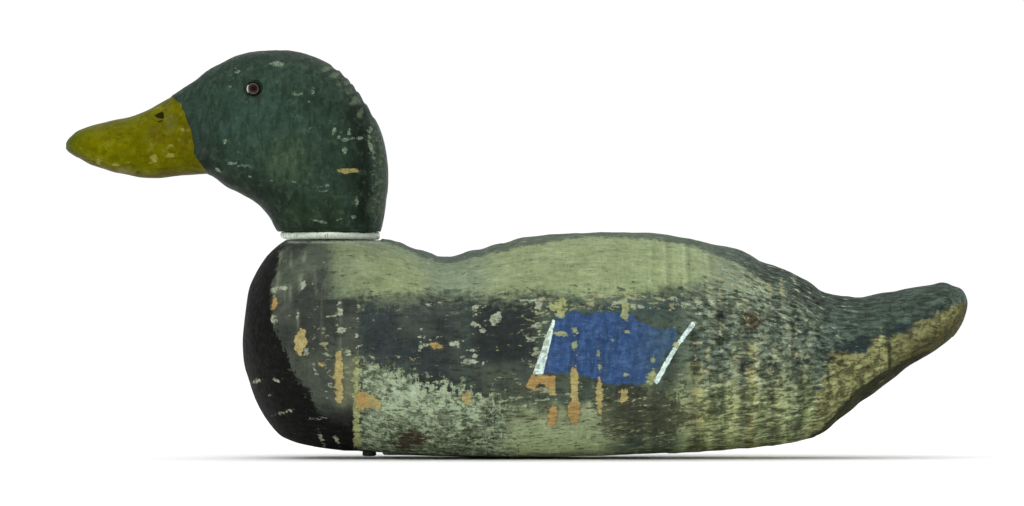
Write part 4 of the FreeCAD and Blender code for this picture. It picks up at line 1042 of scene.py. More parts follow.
# ---------------------------------------------------------------------------
# Leather line loop and lead plate
# ---------------------------------------------------------------------------
def build_strap():
    """A flat strap let into the sole, with a short end that shows in front of the plate."""
    nu, nv = 72, 28
    phi = np.linspace(0, 2 * math.pi, nv, endpoint=False)
    c, s = np.cos(phi), np.sin(phi)
    ys = np.linspace(-16.0, 16.0, nu)
    rows = []
    for y in ys:
        edge = max(0.0, abs(y) - 13.0)
        w = 3.0 * math.sqrt(max(0.02, 1 - (edge / 3.05) ** 2))
        # the strap sags a little between its two tacks, over the slot
        z = 2.12 - 0.55 * math.exp(-((y / 5.0) ** 4))
        rows.append(np.stack([-70.3 + w * np.sign(c) * np.abs(c) ** 0.55 + 0.25 * math.sin(y * 0.5),
                              np.full(nv, y), z + 1.1 * np.sign(s) * np.abs(s) ** 0.6], -1))
    p = np.array(rows)
    flat = p.reshape(-1, 3)
    n = fbm(flat / 3.0, 301, 2)
    flat[:, 0] += 0.18 * n
    flat[:, 2] += 0.12 * value_noise(flat / 2.2, 303)
    p = flat.reshape(p.shape)
    ob = grid_mesh("strap_shape", p)
    # bores for the two tack shanks, wide enough to clear them
    cut = [rod("s" + k, 0.62, (-70.3, y, -2), (-70.3, y, 6), 24) for k, y in (("a", -12.5), ("b", 12.5))]
    subtract(ob, cut)
    shade_smooth(ob, 50)
    return ob


def build_plate():
    """Sheet lead, beaten into its recess; its underside follows the rocker of the sole."""
    lo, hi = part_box("ballast_plate")
    x0, x1, y1, z1 = lo.x * 1000, hi.x * 1000, hi.y * 1000, hi.z * 1000
    nx, ny = 96, 60
    sx, sy = np.linspace(-1, 1, nx), np.linspace(-1, 1, ny)
    gx, gy = np.meshgrid(sx, sy, indexing="ij")
    hx, cx = (x1 - x0) / 2, (x0 + x1) / 2
    # rounded corners
    px, py = gx * hx, gy * y1
    r = 3.0
    qx, qy = np.maximum(np.abs(px) - (hx - r), 0), np.maximum(np.abs(py) - (y1 - r), 0)
    dd = np.hypot(qx, qy)
    k = np.where(dd > r, r / np.maximum(dd, 1e-6), 1.0)
    px = np.sign(px) * (np.minimum(np.abs(px), hx - r) + qx * k)
    py = np.sign(py) * (np.minimum(np.abs(py), y1 - r) + qy * k)
    px = px + cx
    line = np.interp(across(px), [384, 400, 420, 440, 460, 480, 500, 508], [454.0, 454.2, 454.7, 455.4, 455.9, 456.6, 457.1, 456.8])
    z_low = (U_Z0 - line) * U
    q = np.stack([px, py, np.zeros_like(px)], -1).reshape(-1, 3)
    dents = np.zeros(len(q))
    for i in range(46):
        a, b = hashed(np.array([i]), np.array([1]), np.array([0]), 3)[0], hashed(np.array([i]), np.array([2]), np.array([0]), 3)[0]
        ex, ey = x0 + 3 + a * (x1 - x0 - 6), -y1 + 3 + b * (2 * y1 - 6)
        w = 2.0 + 1.6 * hashed(np.array([i]), np.array([3]), np.array([0]), 3)[0]
        dents += 0.26 * np.exp(-(((q[:, 0] - ex) ** 2 + (q[:, 1] - ey) ** 2) / w**2))
    z_low = z_low + dents.reshape(z_low.shape) + 0.08 * value_noise(q / 6.0, 311).reshape(z_low.shape)
    rim = np.minimum((1 - np.abs(gx)) * hx, (1 - np.abs(gy)) * y1)
    z_low = np.maximum(z_low, 0.02) + 0.7 * np.clip(1 - rim / 0.9, 0, 1) ** 2
    z_top = np.full_like(z_low, z1 - 0.05) - 0.3 * np.clip(1 - rim / 0.9, 0, 1) ** 2
    verts, faces = [], []
    for layer, zz in enumerate((z_low, z_top)):
        verts += [(a, b, c) for a, b, c in zip(px.ravel(), py.ravel(), zz.ravel())]
    n = nx * ny
    idx = lambda i, j, l: l * n + i * ny + j
    for i in range(nx - 1):
        for j in range(ny - 1):
            faces.append((idx(i, j, 0), idx(i, j + 1, 0), idx(i + 1, j + 1, 0), idx(i + 1, j, 0)))
            faces.append((idx(i, j, 1), idx(i + 1, j, 1), idx(i + 1, j + 1, 1), idx(i, j + 1, 1)))
    ring = [(i, 0) for i in range(nx)] + [(nx - 1, j) for j in range(1, ny)] + [(i, ny - 1) for i in range(nx - 2, -1, -1)] + [(0, j) for j in range(ny - 2, 0, -1)]
    for a, b in zip(ring, ring[1:] + ring[:1]):
        faces.append((idx(*a, 0), idx(*b, 0), idx(*b, 1), idx(*a, 1)))
    me = bpy.data.meshes.new("plate_shape")
    me.from_pydata((np.array(verts) * 0.001).tolist(), [], faces)
    me.update()
    bm = bmesh.new()
    bm.from_mesh(me)
    bmesh.ops.recalc_face_normals(bm, faces=bm.faces)
    bm.to_mesh(me)
    bm.free()
    ob = bpy.data.objects.new("plate_shape", me)
    bpy.context.scene.collection.objects.link(ob)
    cut = []
    for sxx in (-22, 22):
        for syy in (-12, 12):
            cut.append(rod("n%d%d" % (sxx, syy), 1.25, (-33.35 + sxx, syy, -2), (-33.35 + sxx, syy, 9), 24))
            sink = max((U_Z0 - float(np.interp(across(-33.35 + sxx), [384, 420, 460, 508], [454.0, 454.7, 455.9, 456.8]))) * U, 0.02)
            cut.append(rod("m%d%d" % (sxx, syy), 3.1, (-33.35 + sxx, syy, -2), (-33.35 + sxx, syy, sink + 1.35), 32))
    subtract(ob, cut)
    shade_smooth(ob, 40)
    return ob


def build_nails():
    """Four clout nails, each driven until its head lies in the beaten lead."""
    bm = bmesh.new()
    for sx in (-22.0, 22.0):
        for sy in (-12.0, 12.0):
            x = -33.35 + sx
            line = np.interp(across(x), [384, 400, 420, 440, 460, 480, 500, 508], [454.0, 454.2, 454.7, 455.4, 455.9, 456.6, 457.1, 456.8])
            base = max((U_Z0 - line) * U, 0.02) + 0.25
            rings = [(0.0, 0.0), (1.1, 0.02), (2.0, 0.10), (2.6, 0.25), (2.85, 0.45), (2.85, 0.80), (2.5, 0.95), (1.05, 1.0),
                     (1.0, 1.6), (0.98, 20.0 - base), (0.55, 21.6 - base), (0.0, 22.8 - base)]
            last = None
            for r, z in rings:
                if r == 0.0:
                    ring = [bm.verts.new((x * 0.001, sy * 0.001, (base + z) * 0.001))]
                else:
                    ring = [bm.verts.new(((x + r * math.cos(a)) * 0.001, (sy + r * math.sin(a)) * 0.001, (base + z) * 0.001))
                            for a in [2 * math.pi * i / 32 for i in range(32)]]
                if last:
                    n = 32
                    for i in range(n):
                        j = (i + 1) % n
                        if len(last) == 1:
                            bm.faces.new((last[0], ring[i], ring[j]))
                        elif len(ring) == 1:
                            bm.faces.new((last[i], ring[0], last[j]))
                        else:
                            bm.faces.new((last[i], ring[i], ring[j], last[j]))
                last = ring
    bmesh.ops.recalc_face_normals(bm, faces=bm.faces)
    me = bpy.data.meshes.new("nail_shape")
    bm.to_mesh(me)
    bm.free()
    ob = bpy.data.objects.new("nail_shape", me)
    bpy.context.scene.collection.objects.link(ob)
    shade_smooth(ob, 50)
    return ob


# ---------------------------------------------------------------------------
# Materials
# ---------------------------------------------------------------------------
def body_material():
    m = Nodes("old_paint_body")
    v = m.stretch(1, 1, 1)
    n_big = m.noise(v, 0.09, 3, 0.55)
    n_mid = m.noise(v, 0.33, 4, 0.6)
    n_fine = m.noise(v, 1.1, 4, 0.62)
    n_grain = m.noise(m.stretch(0.11, 1, 1), 1.5, 5, 0.62, 0.6)
    n_pores = m.noise(m.stretch(0.35, 2.2, 2.2), 1.0, 3, 0.6)
    n_streak = m.noise(m.stretch(1, 0.18, 0.18), 0.9, 3, 0.55)
    n_column = m.noise(m.stretch(0.42, 0.06, 0.06), 1.0, 4, 0.62)
    n_dash = m.noise(m.stretch(0.17, 0.44, 0.44), 1.0, 4, 0.60, 0.35)
    n_ragged = m.noise(v, 0.30, 7, 0.72)
    n_upright = m.noise(m.stretch(0.40, 0.17, 0.17, off=(2, 4, 6)), 1.0, 6, 0.68, 0.3)
    n_patch = m.noise(m.stretch(0.10, 0.13, 0.13, off=(8, 1, 3)), 1.0, 3, 0.6)
    torn = m.attr("torn")
    # between the 12 mm ridges runs a fainter one, so the flecks gather every 6 mm
    sep = m.new("ShaderNodeSeparateXYZ")
    m.link(m.where, sep.inputs[0])
    turns = m.add(m.mul(sep.outputs["X"], 1000 * 2 * math.pi / 5.88), m.mul(m.sub(n_big, 0.5), 7.0))
    crest = m.calc("COSINE", m.sub(turns, 2 * math.pi * 27.0 / 5.88))
    crest = m.mul(crest, m.ramp(m.noise(m.stretch(0.05, 0.10, 0.10, off=(1, 2, 3)), 1.0, 2), 0.38, 0.62))

    def wander(a, b, c):
        """Ragged edge: columns round the log, dashes along it, and chips."""
        e = m.mul(m.sub(n_column, 0.5), a)
        e = m.add(e, m.mul(m.sub(n_dash, 0.5), b))
        return m.add(e, m.mul(m.sub(n_ragged, 0.5), c))

    def zone(name, edge, soft):
        return m.ramp(m.add(m.attr(name), edge), -soft, soft)

    far, near_edge, chip = wander(20, 26, 56), wander(8, 14, 16), wander(2, 8, 13)

    def mottled(a, b, c=None, at=(0.42, 0.60)):
        out = m.mix(m.ramp(n_ragged, at[0], at[1]), screen(*a), screen(*b))
        if c:
            out = m.mix(m.mul(m.ramp(n_dash, 0.54, 0.64), 0.7), out, screen(*c))
        return out

    col = m.attr("base", True)
    # light olive back over the dark side band
    back_w = zone("d_back", m.mul(far, 0.46), 7.0)
    col = m.mix(m.mul(back_w, 0.92), col, m.attr("base_back", True))
    halo_back = m.mul(m.ramp(m.add(m.attr("d_back"), m.mul(far, 0.9)), -15, -2), m.sub(1.0, back_w))
    col = m.mix(m.mul(halo_back, 0.62), col, screen(100, 112, 90))
    # dark line along the top of the back
    col = m.mix(m.mul(zone("d_ridge_line", wander(5, 9, 12), 1.2), 0.88), col, mottled((78, 92, 82), (62, 74, 68), (100, 116, 98)))
    # pale blotched lower front
    heart = m.attr("heart")
    front_pale = m.mix(m.ramp(n_ragged, 0.42, 0.60), screen(176, 193, 162), screen(148, 164, 130))
    front_pale = m.mix(m.mul(m.ramp(m.add(n_ragged, m.mul(heart, -0.10)), 0.36, 0.30), 0.8), front_pale, screen(196, 214, 192))
    front_pale = m.mix(m.mul(m.ramp(m.sub(n_upright, m.mul(heart, 0.10)), 0.52, 0.60), 0.75), front_pale, screen(100, 108, 76))
    front_pale = m.mix(m.mul(m.ramp(m.sub(m.sub(n_ragged, m.mul(heart, 0.12)), 0.0), 0.57, 0.64), 0.9), front_pale, screen(44, 50, 34))
    front_pale = m.mix(m.mul(m.ramp(m.sub(n_dash, m.mul(heart, 0.08)), 0.62, 0.68), 0.5), front_pale, screen(60, 66, 46))
    n_broad = m.noise(m.stretch(0.16, 0.20, 0.20, off=(6, 2, 9)), 1.0, 5, 0.66)
    front_pale = m.mix(m.mul(m.ramp(m.sub(n_broad, m.mul(heart, 0.07)), 0.50, 0.535), 0.58), front_pale, mottled((78, 86, 60), (46, 52, 38), (118, 130, 100)))
    n_blot = m.noise(m.stretch(0.34, 0.30, 0.30, off=(3, 8, 1)), 1.0, 5, 0.64)
    front_pale = m.mix(m.mul(m.ramp(m.sub(n_blot, m.mul(heart, 0.04)), 0.535, 0.565), 0.62), front_pale, mottled((62, 72, 58), (48, 54, 44), (96, 106, 84)))
    col = m.mix(m.mul(zone("d_front_pale", m.add(wander(30, 26, 60), m.mul(m.sub(n_upright, 0.5), 60)), 2.0), 0.95), col, front_pale)
    # dark patch, tail
    col = m.mix(m.mul(zone("d_patch", wander(30, 40, 54), 3.5), 0.80), col, mottled((70, 72, 56), (50, 54, 42), (104, 102, 78)))
    col = m.mix(zone("d_tail_low", near_edge, 1.0), col, m.attr("base_tail", True))
    col = m.mix(m.mul(zone("d_tail_top", near_edge, 1.0), 0.9), col, mottled((74, 90, 80), (62, 78, 70), (86, 104, 94)))
    col = m.mix(m.mul(m.attr("navy"), 0.85), col, screen(36, 48, 56))
    # painted shade on the sawn slope under the tail
    col = m.mix(m.mul(zone("d_sawn_shade", wander(0, 10, 12), 1.6), 0.95), col, mottled((34, 36, 18), (44, 44, 22), (62, 60, 30)))
    # breast, cut off square at the chest line
    chest = m.calc("MAXIMUM", zone("d_chest", m.mul(chip, 0.22), 0.5), zone("d_shoulder", m.mul(far, 0.35), 3.0))
    col = m.mix(chest, col, m.attr("base_front", True))
    black = m.mul(zone("d_black", wander(10, 18, 20), 1.2), chest)
    col = m.mix(m.mul(black, 0.97), col, mottled((9, 9, 8), (15, 15, 14), (28, 29, 27)))
    col = m.mix(m.mul(zone("d_stain", wander(6, 16, 14), 1.5), 0.85), col, screen(54, 36, 28))

    # speculum
    blue_w = m.ramp(m.add(m.attr("blue"), wander(9, 10, 12)), -0.5, 0.5)
    blue = m.mix(m.ramp(n_mid, 0.36, 0.66), screen(48, 77, 124), screen(70, 98, 140))
    blue = m.mix(m.mul(m.ramp(n_column, 0.46, 0.62), 0.6), blue, screen(42, 64, 92))
    blue = m.mix(m.mul(m.ramp(n_dash, 0.54, 0.66), 0.6), blue, screen(34, 54, 82))
    blue = m.mix(m.mul(m.ramp(n_ragged, 0.62, 0.68), 0.6), blue, screen(92, 112, 118))
    blue = m.mix(m.mul(m.ramp(n_pores, 0.60, 0.72), 0.45), blue, screen(104, 127, 140))
    back_x = m.ramp(sep.outputs["X"], 0.050, 0.070)
    blue = m.mix(m.mul(back_x, 0.6), blue, m.mix(m.ramp(n_mid, 0.4, 0.6), screen(62, 88, 104), screen(76, 100, 112)))
    col = m.mix(blue_w, col, blue)
    bar_w = m.ramp(m.add(m.attr("bar"), m.mul(chip, 0.16)), -0.4, 0.4)
    bar = m.mix(m.ramp(n_fine, 0.40, 0.65), screen(232, 255, 248), screen(204, 230, 222))
    bar = m.mix(m.mul(m.ramp(n_pores, 0.58, 0.74), 0.28), bar, screen(150, 172, 166))
    col = m.mix(bar_w, col, bar)
    och_w = m.ramp(m.add(m.attr("ochre"), m.mul(chip, 0.95)), -0.5, 0.6)
    ochre = m.mix(m.ramp(n_ragged, 0.42, 0.58), screen(184, 188, 128), screen(140, 148, 102))
    col = m.mix(m.mul(och_w, 0.88), col, ochre)

    # pale flecks on the high grain, in columns
    pale = m.attr("pale")
    fleck_n = m.add(m.mul(n_dash, 0.70), m.mul(m.noise(m.stretch(0.5, 0.8, 0.8, off=(5, 1, 9)), 1.0, 4, 0.7), 0.30))
    th = m.calc("MULTIPLY_ADD", pale, -0.21)
    th.node.inputs[2].default_value = 0.66
    th = m.add(th, m.mul(m.sub(n_column, 0.5), -0.15))
    th = m.sub(th, m.mul(crest, m.mul(m.add(torn, 0.25), 0.040)))
    fleck_w = m.ramp(m.sub(fleck_n, th), 0.0, 0.035)
    fleck_w = m.mul(fleck_w, m.sub(1.0, m.mul(m.calc("MAXIMUM", blue_w, black), 0.93)))
    pale_col = m.mix(m.ramp(n_mid, 0.38, 0.62), screen(168, 178, 150), screen(140, 152, 122))
    pale_col = m.mix(m.ramp(n_big, 0.46, 0.60), pale_col, screen(152, 150, 108))
    col = m.mix(m.mul(fleck_w, 0.80), col, pale_col)
    spot_w = m.ramp(m.add(m.attr("pale_spot"), m.mul(chip, 0.9)), -0.3, 0.5)
    col = m.mix(m.mul(spot_w, 0.82), col, m.mix(m.ramp(n_fine, 0.4, 0.6), screen(146, 154, 130), screen(178, 184, 160)))
    col = m.mix(m.mul(m.attr("rim"), 0.8), col, screen(170, 180, 160))

    # dark furrows and specks
    dim = m.attr("dim")
    dn = m.noise(m.stretch(0.17, 0.50, 0.50, off=(7, 3, 1)), 1.0, 6, 0.70)
    th2 = m.calc("MULTIPLY_ADD", dim, -0.17)
    th2.node.inputs[2].default_value = 0.655
    th2 = m.add(th2, m.mul(m.sub(n_column, 0.5), 0.20))
    th2 = m.add(th2, m.mul(crest, m.mul(m.add(torn, 0.2), 0.030)))
    dark_w = m.ramp(m.sub(dn, th2), 0.0, 0.05)
    dark_w = m.mul(dark_w, m.sub(1.0, m.mul(m.calc("MAXIMUM", blue_w, bar_w), 0.7)))
    col = m.mix(m.mul(dark_w, 0.68), col, screen(48, 52, 40))

    # bare wood, with a rim of grey ground colour
    wood_n = m.add(m.attr("wood"), m.add(m.mul(chip, 0.75), m.mul(m.sub(n_pores, 0.5), 2.0)))
    wood_w = m.ramp(wood_n, -0.25, 0.35)
    halo = m.ramp(wood_n, -2.2, -0.2)
    col = m.mix(m.mul(halo, 0.40), col, screen(88, 84, 60))
    w_a = m.mix(m.ramp(m.noise(m.stretch(0.18, 1.6, 1.6), 1.0, 4, 0.6, 0.4), 0.38, 0.62), screen(186, 175, 118), screen(164, 148, 96))
    w_b = m.mix(m.mul(m.ramp(m.noise(m.stretch(0.1, 3.4, 3.4), 1.0, 3, 0.6), 0.55, 0.70), 0.7), w_a, screen(112, 92, 58))
    warm = m.mul(m.ramp(m.add(m.attr("warm"), m.mul(chip, 0.8)), -2.0, 2.5), 0.85)
    w_c = m.mix(warm, w_b, m.mix(m.ramp(n_grain, 0.42, 0.6), screen(184, 150, 92), screen(156, 124, 74)))
    col = m.mix(m.mul(wood_w, 0.95), col, w_c)
    # scratches, nearly along the grain
    sc = m.noise(m.stretch(0.05, 0.9, 0.9, off=(0, 31, 5)), 1.0, 6, 0.75)
    scr = m.mul(m.ramp(sc, 0.645, 0.68), m.ramp(m.noise(v, 0.05, 1), 0.48, 0.60))
    col = m.mix(m.mul(scr, 0.5), col, screen(144, 150, 126))
    col = m.mix(m.attr("shelf"), col, mottled((58, 62, 52), (70, 76, 62), (86, 92, 76)))

    # light and shade of the brushwork and the torn fibres
    above = m.noise(m.stretch(0.15, 0.50, 0.50, off=(0, 0, 0.30)), 1.0, 4, 0.62)
    relief = m.sub(above, n_dash)
    tone = m.add(1.04, m.mul(relief, m.calc("MULTIPLY", m.add(torn, 0.10), -2.9)))
    tone = m.add(tone, m.mul(m.sub(n_grain, 0.5), m.mul(m.add(torn, 0.22), 0.9)))
    tone = m.add(tone, m.mul(m.sub(n_streak, 0.5), 0.5))
    tone = m.add(tone, m.mul(m.sub(n_ragged, 0.5), 1.0))
    tone = m.add(tone, m.mul(m.sub(n_patch, 0.5), m.add(0.35, m.mul(torn, 0.6))))
    tone = m.add(tone, m.mul(m.sub(n_fine, 0.5), 0.4))
    tone = m.calc("MINIMUM", m.calc("MAXIMUM", tone, 0.35), 1.8)
    up = m.new("ShaderNodeVectorMath")
    up.operation = "SCALE"
    m.link(col, up.inputs[0])
    m.link(m.mul(tone, m.attr("lift")), up.inputs["Scale"])
    m.feed(m.bsdf.inputs["Base Color"], up.outputs[0])

    rough = m.add(m.ramp(n_mid, 0.3, 0.7, 0.62, 0.78), m.mul(wood_w, 0.12))
    rough = m.sub(rough, m.mul(blue_w, 0.06))
    m.feed(m.bsdf.inputs["Roughness"], rough)
    m.bsdf.inputs["Specular IOR Level"].default_value = 0.07

    grain_h = m.noise(m.stretch(0.16, 1.0, 1.0), 0.8, 6, 0.66, 0.5)
    tool_h = m.noise(m.stretch(2.3, 0.22, 0.22), 1.0, 3, 0.55)
    h = m.add(m.mul(grain_h, m.add(0.8, m.mul(torn, 1.6))), m.mul(n_fine, 0.30))
    h = m.add(h, m.mul(n_dash, m.mul(torn, 1.4)))
    h = m.add(h, m.mul(tool_h, 0.14))
    h = m.sub(h, m.mul(wood_w, 0.35))
    h = m.add(h, m.mul(fleck_w, 0.12))
    h = m.sub(h, m.mul(dark_w, 0.22))
    nb = m.bump(h, 0.85, 0.60)
    nb = m.bump(m.noise(v, 3.2, 3, 0.6), 0.25, 0.12, nb)
    m.feed(m.bsdf.inputs["Normal"], nb)
    return m.mat


def head_material():
    m = Nodes("old_paint_head")
    v = m.stretch(1, 1, 1)
    base, bill = m.attr("base", True), m.attr("bill_base", True)
    n_big = m.noise(v, 0.10, 4, 0.6)
    n_mid = m.noise(v, 0.36, 4, 0.6)
    n_fine = m.noise(v, 1.2, 4, 0.62)
    n_up = m.noise(m.stretch(0.42, 0.40, 0.14), 1.0, 4, 0.55, 0.5)
    n_ragged = m.noise(v, 0.26, 7, 0.70)
    n_edge = m.sub(n_ragged, 0.5)
    n_side = m.noise(m.stretch(0.28, 0.5, 0.9, off=(4, 4, 4)), 1.0, 5, 0.66)
    # brushed and rubbed: darker and paler green in patches
    col = m.mix(m.mul(m.ramp(n_up, 0.46, 0.60), 0.55), base, m.mix(1.0, base, screen(150, 158, 146), "MULTIPLY"))
    col = m.mix(m.mul(m.ramp(n_ragged, 0.52, 0.64), 0.50), col, m.mix(0.35, col, screen(92, 116, 92)))
    col = m.mix(m.mul(m.ramp(n_side, 0.56, 0.66), 0.45), col, screen(30, 44, 32))
    col = m.mix(m.mul(m.ramp(n_fine, 0.60, 0.72), 0.30), col, screen(92, 112, 96))
    # worn flecks
    pale = m.attr("pale")
    fleck = m.noise(m.stretch(0.40, 0.40, 0.50), 1.0, 7, 0.76)
    th = m.calc("MULTIPLY_ADD", pale, -0.19)
    th.node.inputs[2].default_value = 0.70
    fw = m.ramp(m.sub(fleck, th), 0.0, 0.05)
    col = m.mix(m.mul(fw, 0.62), col, m.mix(m.ramp(n_mid, 0.4, 0.6), screen(100, 120, 100), screen(112, 122, 84)))
    chip = m.add(m.mul(n_edge, 11.0), m.mul(m.sub(n_side, 0.5), 5.0))
    sw = m.ramp(m.add(m.attr("pale_spot"), m.mul(chip, 0.8)), -0.3, 0.5)
    col = m.mix(m.mul(sw, 0.72), col, m.mix(m.ramp(n_fine, 0.42, 0.58), screen(146, 162, 142), screen(92, 112, 84)))
    # dark cracks and the painted shadow at the notch lips, then the painted highlight on the notch faces
    col = m.mix(m.mul(m.attr("crack_and_notch_shadow"), 0.8), col, screen(20, 26, 18))
    col = m.mix(m.mul(m.attr("notch_highlight"), 0.75), col, m.mix(m.ramp(n_fine, 0.42, 0.6), screen(112, 132, 104), screen(84, 102, 80)))
    bw = m.ramp(m.add(m.attr("bare"), m.mul(chip, 0.35)), -0.3, 0.4)
    col = m.mix(bw, col, m.mix(m.ramp(n_fine, 0.42, 0.60), screen(160, 156, 92), screen(132, 112, 62)))
    dn = m.noise(m.stretch(0.55, 0.55, 0.55, off=(3, 9, 2)), 1.0, 6, 0.72)
    col = m.mix(m.mul(m.ramp(dn, 0.60, 0.68), 0.65), col, screen(26, 34, 24))

    # bill paint over it
    edge_b = m.mul(n_edge, 3.4)
    w = m.ramp(m.add(m.attr("bill"), edge_b), -0.35, 0.35)
    b = m.mix(m.mul(m.ramp(n_mid, 0.42, 0.70), 0.5), bill, m.mix(0.5, bill, screen(132, 130, 10)))
    b = m.mix(m.mul(m.ramp(m.noise(m.stretch(0.22, 0.6, 0.6), 1.0, 5, 0.66), 0.50, 0.66), 0.40), b, m.mix(1.0, b, screen(180, 172, 130), "MULTIPLY"))
    b = m.mix(m.mul(m.ramp(n_ragged, 0.56, 0.68), 0.55), b, screen(122, 120, 52))
    b = m.mix(m.mul(m.ramp(n_fine, 0.62, 0.74), 0.35), b, screen(126, 124, 70))
    worn = m.ramp(m.add(m.attr("worn"), m.mul(chip, 1.1)), -0.3, 0.9)
    b = m.mix(m.mul(worn, 0.50), b, screen(162, 160, 84))
    b = m.mix(m.mul(m.ramp(dn, 0.58, 0.66), 0.6), b, screen(70, 62, 10))
    hole = m.ramp(m.add(m.attr("hole"), m.mul(n_edge, 0.8)), -0.4, 0.2)
    b = m.mix(m.mul(hole, 0.95), b, screen(26, 26, 8))
    # thin dark line where the two paints meet
    line = m.mul(m.ramp(m.add(m.attr("bill"), edge_b), -1.6, -0.2), m.sub(1.0, w))
    col = m.mix(m.mul(line, 0.55), col, screen(40, 38, 16))
    col = m.mix(w, col, b)
    tone = m.add(1.0, m.mul(m.sub(n_up, 0.5), 0.55))
    tone = m.add(tone, m.mul(m.sub(n_ragged, 0.5), 0.85))
    tone = m.add(tone, m.mul(m.sub(n_big, 0.5), 0.7))
    tone = m.calc("MINIMUM", m.calc("MAXIMUM", tone, 0.5), 1.6)
    up = m.new("ShaderNodeVectorMath")
    up.operation = "SCALE"
    m.link(col, up.inputs[0])
    m.link(tone, up.inputs["Scale"])
    m.feed(m.bsdf.inputs["Base Color"], up.outputs[0])
    m.feed(m.bsdf.inputs["Roughness"], m.add(m.ramp(n_mid, 0.3, 0.7, 0.44, 0.62), m.mul(fw, 0.1)))
    m.feed(m.bsdf.inputs["Specular Tint"], m.mix(w, (1, 1, 1, 1), (1.0, 0.95, 0.15, 1)))
    m.bsdf.inputs["Specular IOR Level"].default_value = 0.08
    h = m.add(m.mul(n_up, 0.6), m.mul(n_fine, 0.4))
    h = m.add(h, m.mul(n_ragged, 0.8))
    h = m.sub(h, m.mul(fw, 0.12))
    h = m.add(h, m.mul(w, 0.25))
    h = m.sub(h, m.mul(bw, 0.3))
    nb = m.bump(h, 0.65, 0.45)
    nb = m.bump(m.noise(v, 3.4, 3, 0.6), 0.2, 0.10, nb)
    m.feed(m.bsdf.inputs["Normal"], nb)
    return m.mat


def collar_material():
    m = Nodes("collar_white")
    v = m.stretch(1, 1, 1)
    n_mid, n_fine = m.noise(v, 0.4, 4, 0.6), m.noise(v, 1.3, 4, 0.65)
    col = m.mix(m.ramp(n_mid, 0.35, 0.65), screen(244, 255, 240), screen(218, 236, 212))
    col = m.mix(m.mul(m.ramp(n_fine, 0.55, 0.72), 0.55), col, screen(128, 138, 118))
    col = m.mix(m.mul(m.ramp(m.noise(m.stretch(0.9, 0.9, 0.25), 1.0, 4, 0.65), 0.60, 0.68), 0.7), col, screen(92, 96, 78))
    sep = m.new("ShaderNodeSeparateXYZ")
    m.link(m.where, sep.inputs[0])
    z = m.mul(sep.outputs["Z"], 1000.0)
    wave = m.mul(m.sub(m.noise(m.stretch(0.16, 0.16, 0.0), 1.0, 3, 0.6), 0.5), 2.0)
    green = m.ramp(m.add(z, wave), 107.25, 107.6)
    col = m.mix(green, col, screen(50, 66, 48))
    low = m.ramp(m.add(z, m.mul(wave, 0.35)), 104.35, 104.0)
    col = m.mix(m.mul(low, 0.8), col, screen(52, 56, 44))
    m.feed(m.bsdf.inputs["Base Color"], col)
    m.feed(m.bsdf.inputs["Roughness"], m.ramp(n_mid, 0.3, 0.7, 0.50, 0.66))
    m.bsdf.inputs["Specular IOR Level"].default_value = 0.3
    m.feed(m.bsdf.inputs["Normal"], m.bump(m.add(n_fine, m.mul(n_mid, 0.5)), 0.5, 0.35))
    return m.mat


def wood_material(name, a, b, c, axis):
    m = Nodes(name)
    st = [2.0, 2.0, 2.0]
    st[axis] = 0.14
    v = m.stretch(1, 1, 1)
    g = m.noise(m.stretch(*st), 0.8, 5, 0.6, 0.8)
    p = m.noise(m.stretch(*[s * 2.4 for s in st]), 1.0, 3, 0.6)
    n = m.noise(v, 0.3, 3)
    col = m.mix(m.ramp(g, 0.38, 0.62), screen(*a), screen(*b))
    col = m.mix(m.mul(m.ramp(p, 0.56, 0.70), 0.6), col, screen(*c))
    col = m.mix(m.mul(m.ramp(n, 0.5, 0.7), 0.4), col, screen(*c))
    m.feed(m.bsdf.inputs["Base Color"], col)
    m.feed(m.bsdf.inputs["Roughness"], m.ramp(g, 0.3, 0.7, 0.55, 0.75))
    m.feed(m.bsdf.inputs["Normal"], m.bump(m.add(g, p), 0.5, 0.3))
    return m.mat


def metal_material(name, light, dark, rust, rough, metallic, amount):
    m = Nodes(name)
    v = m.stretch(1, 1, 1)
    n1, n2, n3 = m.noise(v, 0.35, 4, 0.6), m.noise(v, 1.4, 5, 0.7), m.noise(v, 3.5, 3, 0.6)
    col = m.mix(m.ramp(n1, 0.35, 0.65), screen(*light), screen(*dark))
    w = m.ramp(n2, 0.62 - 0.2 * amount, 0.70 - 0.1 * amount)
    col = m.mix(m.mul(w, 0.85), col, screen(*rust))
    m.feed(m.bsdf.inputs["Base Color"], col)
    m.feed(m.bsdf.inputs["Metallic"], m.sub(metallic, m.mul(w, metallic * 0.8)))
    m.feed(m.bsdf.inputs["Roughness"], m.add(m.ramp(n1, 0.3, 0.7, rough - 0.08, rough + 0.1), m.mul(w, 0.2)))
    m.feed(m.bsdf.inputs["Normal"], m.bump(m.add(n2, m.mul(n3, 0.4)), 0.5, 0.25))
    return m.mat


def leather_material():
    m = Nodes("strap_leather")
    v = m.stretch(1, 1, 1)
    n = m.noise(v, 0.5, 4, 0.6)
    cell = m.cells(v, 1.6)
    col = m.mix(m.ramp(n, 0.35, 0.65), screen(34, 30, 24), screen(20, 18, 14))
    col = m.mix(m.mul(m.ramp(cell, 0.1, 0.5), 0.3), col, screen(52, 45, 34))
    m.feed(m.bsdf.inputs["Base Color"], col)
    m.feed(m.bsdf.inputs["Roughness"], m.ramp(n, 0.3, 0.7, 0.58, 0.78))
    m.feed(m.bsdf.inputs["Normal"], m.bump(m.add(cell, n), 0.6, 0.25))
    return m.mat


